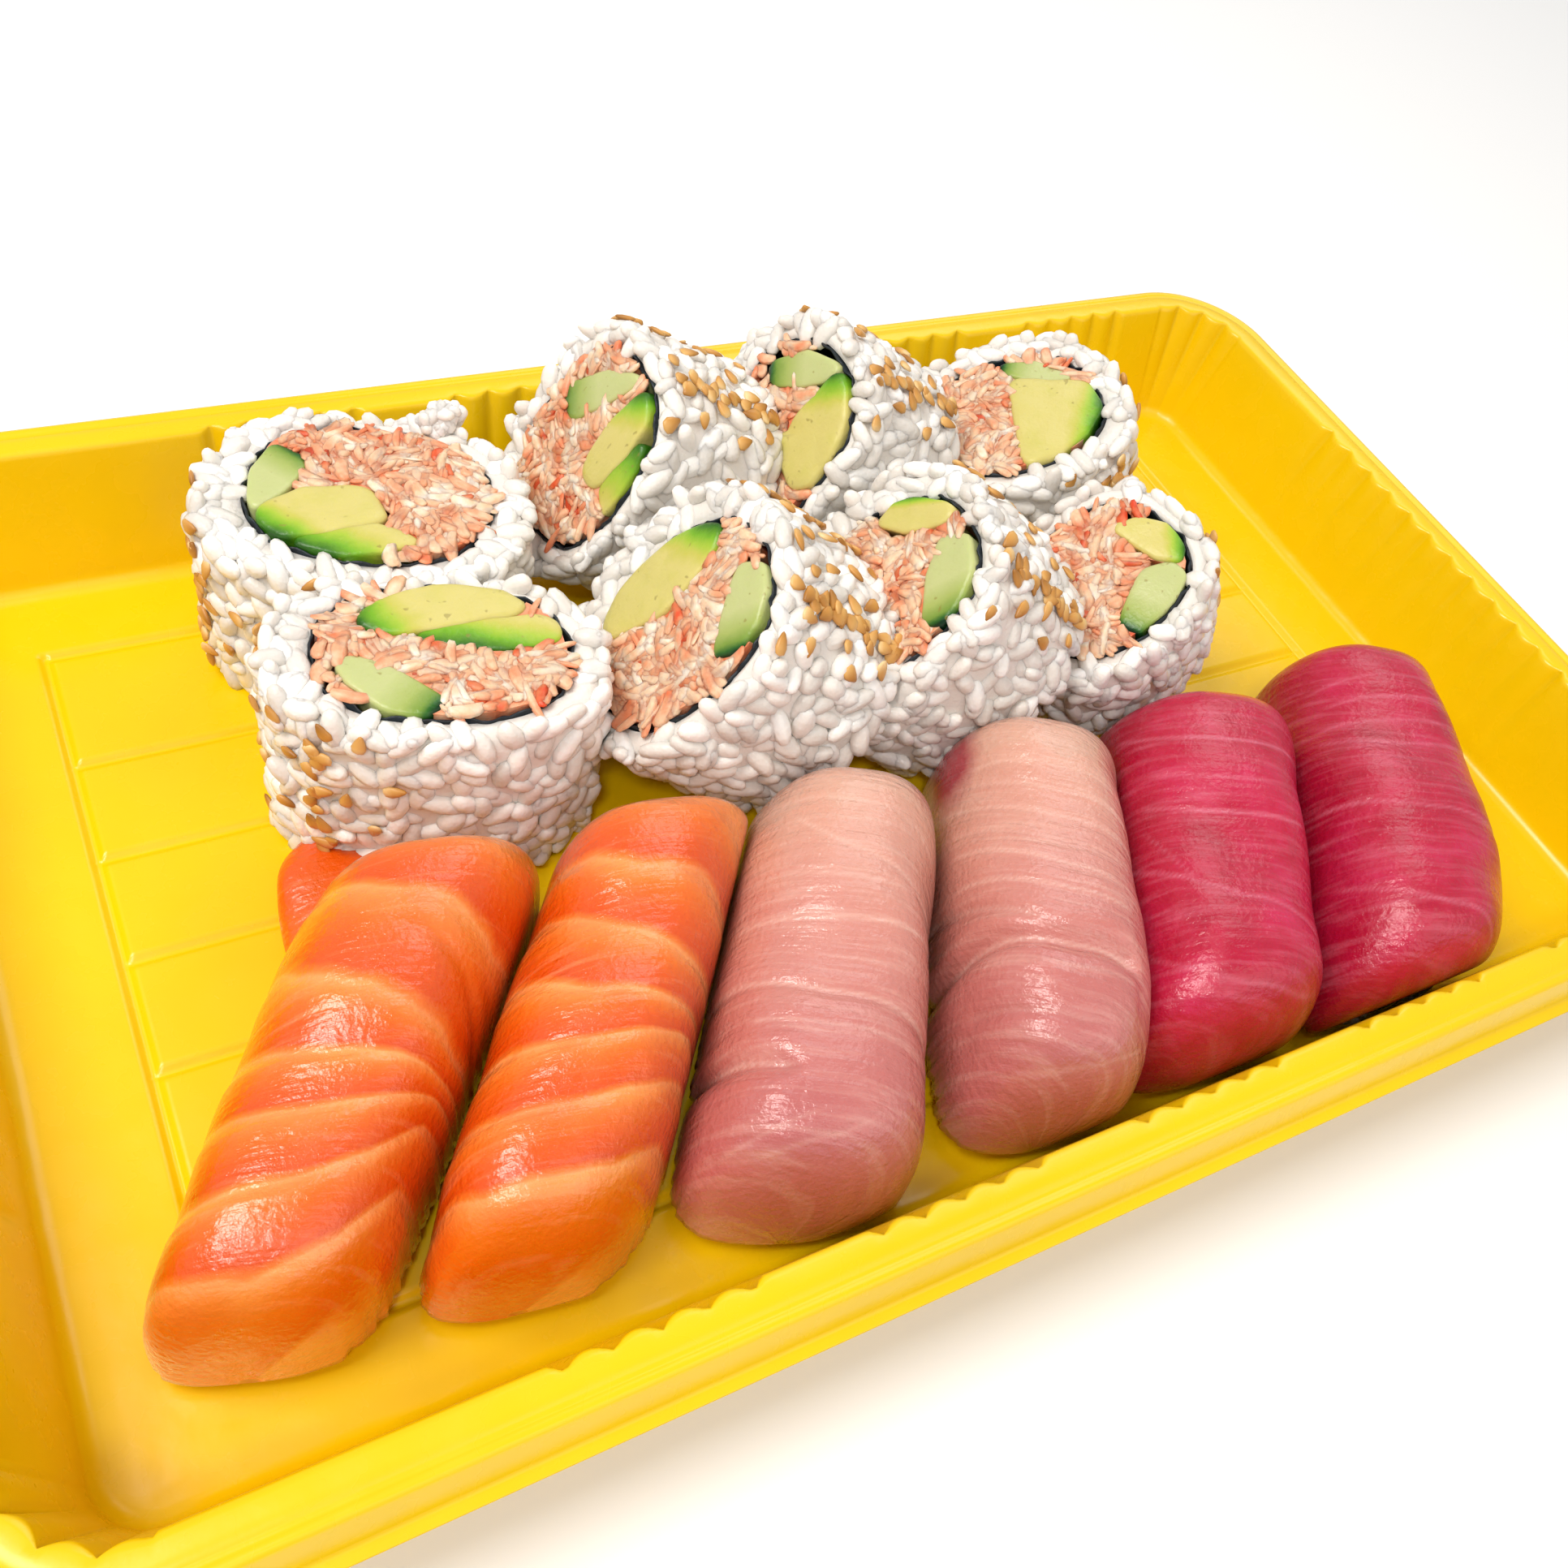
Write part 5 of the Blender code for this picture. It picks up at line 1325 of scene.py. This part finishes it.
def raw_yellowtail():
    """Raw yellowtail: beige pink at the back, rosier to the front, crossed by pale creases.

    A red patch of the bloodline shows at the edge of two slices.
    """
    made, tree, shader, where, value, squeezed = wet_fish("raw_yellowtail", (1.0, 0.45, 0.3), 0.9)
    cloud = add(tree, "ShaderNodeTexNoise", {"Vector": where, "Scale": lumps(14), "Detail": 5.0,
                                             "Roughness": 0.62})
    share = add(tree, "ShaderNodeMapRange", {"Value": value["along"], "From Min": -33 * MM,
                                             "From Max": 33 * MM})
    mixed = add(tree, "ShaderNodeMath", {0: cloud, 1: 0.3, 2: share}, operation="MULTIPLY_ADD")
    body = add(tree, "ShaderNodeValToRGB", {"Fac": mixed},
               stops=((0.14, "#B46060"), (0.4, "#C0726C"), (0.68, "#CA877A"), (0.98, "#D09A86"),
                      (1.0, "#CE9E8A")))
    fibres = add(tree, "ShaderNodeTexNoise", {"Vector": squeezed, "Scale": lumps(1.6), "Detail": 4.0,
                                              "Roughness": 0.62})
    faint = add(tree, "ShaderNodeMapRange", {"Value": fibres, "From Min": 0.5, "From Max": 0.78,
                                             "To Max": 0.32})
    line = add(tree, "ShaderNodeMath", {0: value["layer"], 1: 0.45, 2: faint},
               operation="MULTIPLY_ADD", use_clamp=True)
    colour = add(tree, "ShaderNodeMix", {0: line, 6: body, 7: linear("#ECC8B8")}, data_type="RGBA")
    blood = add(tree, "ShaderNodeAttribute", attribute_name="bloodline").outputs["Fac"]
    ragged = add(tree, "ShaderNodeMath", {0: cloud, 1: blood}, operation="MULTIPLY")
    stained = add(tree, "ShaderNodeMapRange", {"Value": ragged, "From Min": 0.12, "From Max": 0.34,
                                               "To Max": 0.9})
    finished = add(tree, "ShaderNodeMix", {0: stained, 6: colour.outputs[2], 7: linear("#9C1C34")},
                   data_type="RGBA")
    tree.links.new(finished.outputs[2], shader.inputs["Base Color"])
    wet_surface(tree, shader, where, squeezed, 0.3)
    return made


def raw_tuna():
    """Raw tuna: deep red with white fibres and a few veins, and painted shade on its sides."""
    made, tree, shader, where, value, squeezed = wet_fish("raw_tuna", (1.0, 0.15, 0.12), 0.5)
    cloud = add(tree, "ShaderNodeTexNoise", {"Vector": where, "Scale": lumps(13), "Detail": 5.0,
                                             "Roughness": 0.62})
    body = add(tree, "ShaderNodeValToRGB", {"Fac": cloud},
               stops=((0.3, "#A0082A"), (0.5, "#B41038"), (0.7, "#C42250")))
    fibres = add(tree, "ShaderNodeTexNoise", {"Vector": squeezed, "Scale": lumps(1.4), "Detail": 4.0,
                                              "Roughness": 0.62})
    faint = add(tree, "ShaderNodeMapRange", {"Value": fibres, "From Min": 0.48, "From Max": 0.78,
                                             "To Max": 0.34})
    line = add(tree, "ShaderNodeMath", {0: value["layer"], 1: 0.4, 2: faint},
               operation="MULTIPLY_ADD", use_clamp=True)
    # Painted shade: from 9 to 19 mm out to either side the red deepens, so the sides read darker than the
    # top.
    side = add(tree, "ShaderNodeMath", {0: value["across"]}, operation="ABSOLUTE")
    thin = add(tree, "ShaderNodeMapRange", {"Value": side, "From Min": 9 * MM, "From Max": 19 * MM,
                                            "To Max": 0.8})
    deep = add(tree, "ShaderNodeMix", {0: thin, 6: body, 7: linear("#980526")}, data_type="RGBA")
    colour = add(tree, "ShaderNodeMix", {0: line, 6: deep.outputs[2], 7: linear("#D87C92")},
                 data_type="RGBA")
    tree.links.new(colour.outputs[2], shader.inputs["Base Color"])
    wet_surface(tree, shader, where, squeezed, 0.16)
    return made


def bar_sizes(nigiri):
    """The sizes, foot and cuts of the bar of rice that a slice leaves room for."""
    return (nigiri["length"] - 2 * FISH_SIDE - 1, nigiri["width"] - 2 * FISH_SIDE - 0.6,
            nigiri["height"] - FISH_THICK - 0.6, BAR_FOOT, nigiri["cuts"])


def build_bar(nigiri):
    """The pressed rice under a slice: a closed half oval bar, flat underneath."""
    rows, columns = 26, 24
    share = np.sin(np.linspace(-np.pi / 2, np.pi / 2, rows + 2)[1:-1])[:, None]
    sizes = bar_sizes(nigiri)
    body = bar_point(share, np.linspace(0, np.pi, columns)[None, :], *sizes)
    ends = np.array([(0, -sizes[0] / 2, BAR_FOOT), (0, sizes[0] / 2, BAR_FOOT)])
    quads, tips = closed_faces(rows, columns)
    points = lay_on_tray(nigiri, np.concatenate([body.reshape(-1, 3), ends]))
    return mesh_object(nigiri["name"] + "_rice_core", points, quads[:, ::-1], tips[:, ::-1])


def bar_grains(nigiri):
    """Centres, directions, outward normals and sizes of grains low on the sides of a bar."""
    chance = np.random.default_rng(700 + NIGIRI.index(nigiri))
    sizes = bar_sizes(nigiri)
    count = int(sizes[0] * 5.5)
    share = np.sin(chance.uniform(-np.pi / 2, np.pi / 2, count)) * 0.985
    low = chance.uniform(0, 0.55, count)
    angle = np.where(chance.uniform(size=count) < 0.5, low, np.pi - low)
    places = bar_point(share, angle, *sizes)
    out = unit_length(np.stack([np.cos(angle), share ** 9 * 2, 0.15 + 0 * share], 1))
    places -= out * chance.uniform(0.9, 1.5, count)[:, None]
    places[:, 2] = places[:, 2].clip(1.4)
    turn = np.array(Matrix.Rotation(math.radians(-nigiri["slant"]), 3, "Z"))
    along = np.cross(out, chance.normal(size=places.shape))
    return lay_on_tray(nigiri, places), along @ turn.T, out @ turn.T, grain_sizes(count, chance)


# The end of the first salmon slice, which shows beside the roll that lies on it.
TAIL_CENTRE = (-79.2, -1.6, 5.0)
TAIL_HALF = (7.6, 12.6, 3.0)
TAIL_TURN = -14.0


def build_tail():
    """The end of the slice that folds under the roll behind it: a flattened egg.

    Its edge is a superellipse of exponent 2.6, thinned towards the rim by cos^0.7.
    """
    rise = np.linspace(-np.pi / 2, np.pi / 2, 26)[1:-1, None]
    turn = (np.arange(64) / 64 * 2 * np.pi)[None, :]
    c, s = np.cos(turn), np.sin(turn)
    reach = np.cos(rise) ** 0.7 * (1 + 0.03 * np.sin(5 * turn))
    x = TAIL_HALF[0] * reach * np.sign(c) * np.abs(c) ** (2 / 2.6)
    y = TAIL_HALF[1] * reach * np.sign(s) * np.abs(s) ** (2 / 2.6)
    z = TAIL_HALF[2] * np.sin(rise) + 0.3 * np.sin(y * 0.5) * np.cos(rise)
    body = np.stack(np.broadcast_arrays(x, y, z), -1).reshape(-1, 3)
    points = np.concatenate([body, [(0, 0, -TAIL_HALF[2]), (0, 0, TAIL_HALF[2])]])
    points = points @ np.array(Matrix.Rotation(math.radians(TAIL_TURN), 3, "Z")).T + TAIL_CENTRE
    made = mesh_object("salmon_1_tail", points, *closed_faces(24, 64))
    point_value(made, "layer", 0.55 + 0.02 * points[:, 1])
    point_value(made, "along", points[:, 1] * MM)
    point_value(made, "fibre", points[:, 1] * MM)
    point_value(made, "across", points[:, 0] * MM)
    return made


fish_materials = {"salmon": raw_salmon(), "yellowtail": raw_yellowtail(), "tuna": raw_tuna()}
for order, nigiri in enumerate(NIGIRI):
    name = nigiri["name"]
    kind = name.split("_")[0]
    show(build_fish(nigiri), fish_materials[kind], kind, name + "_fish")
    show(build_bar(nigiri), gap_shaded_rice, "rice", name + "_rice")
    show(lay_grains(name + "_rice_grains", order, *bar_grains(nigiri)), grain_rice, "rice")
show(build_tail(), fish_materials["salmon"], "salmon")


# Floor, light and camera. A plain pale floor and soft studio light from behind on the left,
# as in the photograph, and the camera where the photograph was taken from.

CAMERA_PLACE = (-104.25, -117.67, 185.93)
CAMERA_RIGHT = (0.87626, -0.43661, 0.20383)
CAMERA_DOWN = (-0.23596, -0.75765, -0.60851)
CAMERA_AHEAD = (0.42011, 0.48512, -0.76692)
PHOTO_SIDE = 1932
FOCAL_PIXELS = 1810.7
PHOTO_CENTRE = (991.0, 970.5)
SENSOR = 36.0
LIT_PLACE = (0.0, 0.0, 15.0)


def build_floor():
    """A flat pale surface well past the edges of the view."""
    side = 1500.0
    points = np.array([(-side, -side, 0), (side, -side, 0), (side, side, 0), (-side, side, 0)], float)
    made = mesh_object("studio_floor", points, np.array([[0, 1, 2, 3]]))
    pale = new_material("pale_floor", {"Roughness": 0.6, "Base Color": linear("#F4F4F4")})[0]
    made.data.materials.append(pale)


def area_light(name, place, size, power, colour):
    """A square soft light at a place in millimetres, aimed at the middle of the food."""
    data = bpy.data.lights.new(name, "AREA")
    data.size = size * MM
    data.energy = power
    data.color = linear(colour)[:3]
    lamp = bpy.data.objects.new(name, data)
    lamp.location = Vector(place) * MM
    lamp.rotation_euler = (Vector(LIT_PLACE) - Vector(place)).to_track_quat("-Z", "Y").to_euler()
    bpy.context.scene.collection.objects.link(lamp)


build_floor()
area_light("window_light", (-420, 60, 700), 380, 5.0, "#FFFAF4")
area_light("ceiling_lamp", (-330, -380, 700), 100, 1.6, "#FFFCF8")
area_light("front_fill", (200, -560, 420), 600, 1.3, "#FFF4EC")
area_light("back_sheen", (380, 430, 620), 500, 1.5, "#FFFFFF")
world = bpy.data.worlds.new("studio")
world.use_nodes = True
sky = world.node_tree.nodes["Background"]
sky.inputs["Color"].default_value = linear("#F8F8F6")
sky.inputs["Strength"].default_value = 0.46
bpy.context.scene.world = world
bpy.context.scene.view_settings.view_transform = "Standard"

lens = bpy.data.cameras.new("photo_camera")
lens.sensor_width = SENSOR
lens.lens = FOCAL_PIXELS / PHOTO_SIDE * SENSOR
lens.shift_x = (PHOTO_SIDE / 2 - PHOTO_CENTRE[0]) / PHOTO_SIDE
lens.shift_y = (PHOTO_CENTRE[1] - PHOTO_SIDE / 2) / PHOTO_SIDE
lens.clip_start = 0.01
camera = bpy.data.objects.new("photo_camera", lens)
columns = [Vector(CAMERA_RIGHT), -Vector(CAMERA_DOWN), -Vector(CAMERA_AHEAD)]
camera.matrix_world = Matrix.Translation(Vector(CAMERA_PLACE) * MM) @ Matrix(columns).transposed().to_4x4()
bpy.context.scene.collection.objects.link(camera)
bpy.context.scene.camera = camera
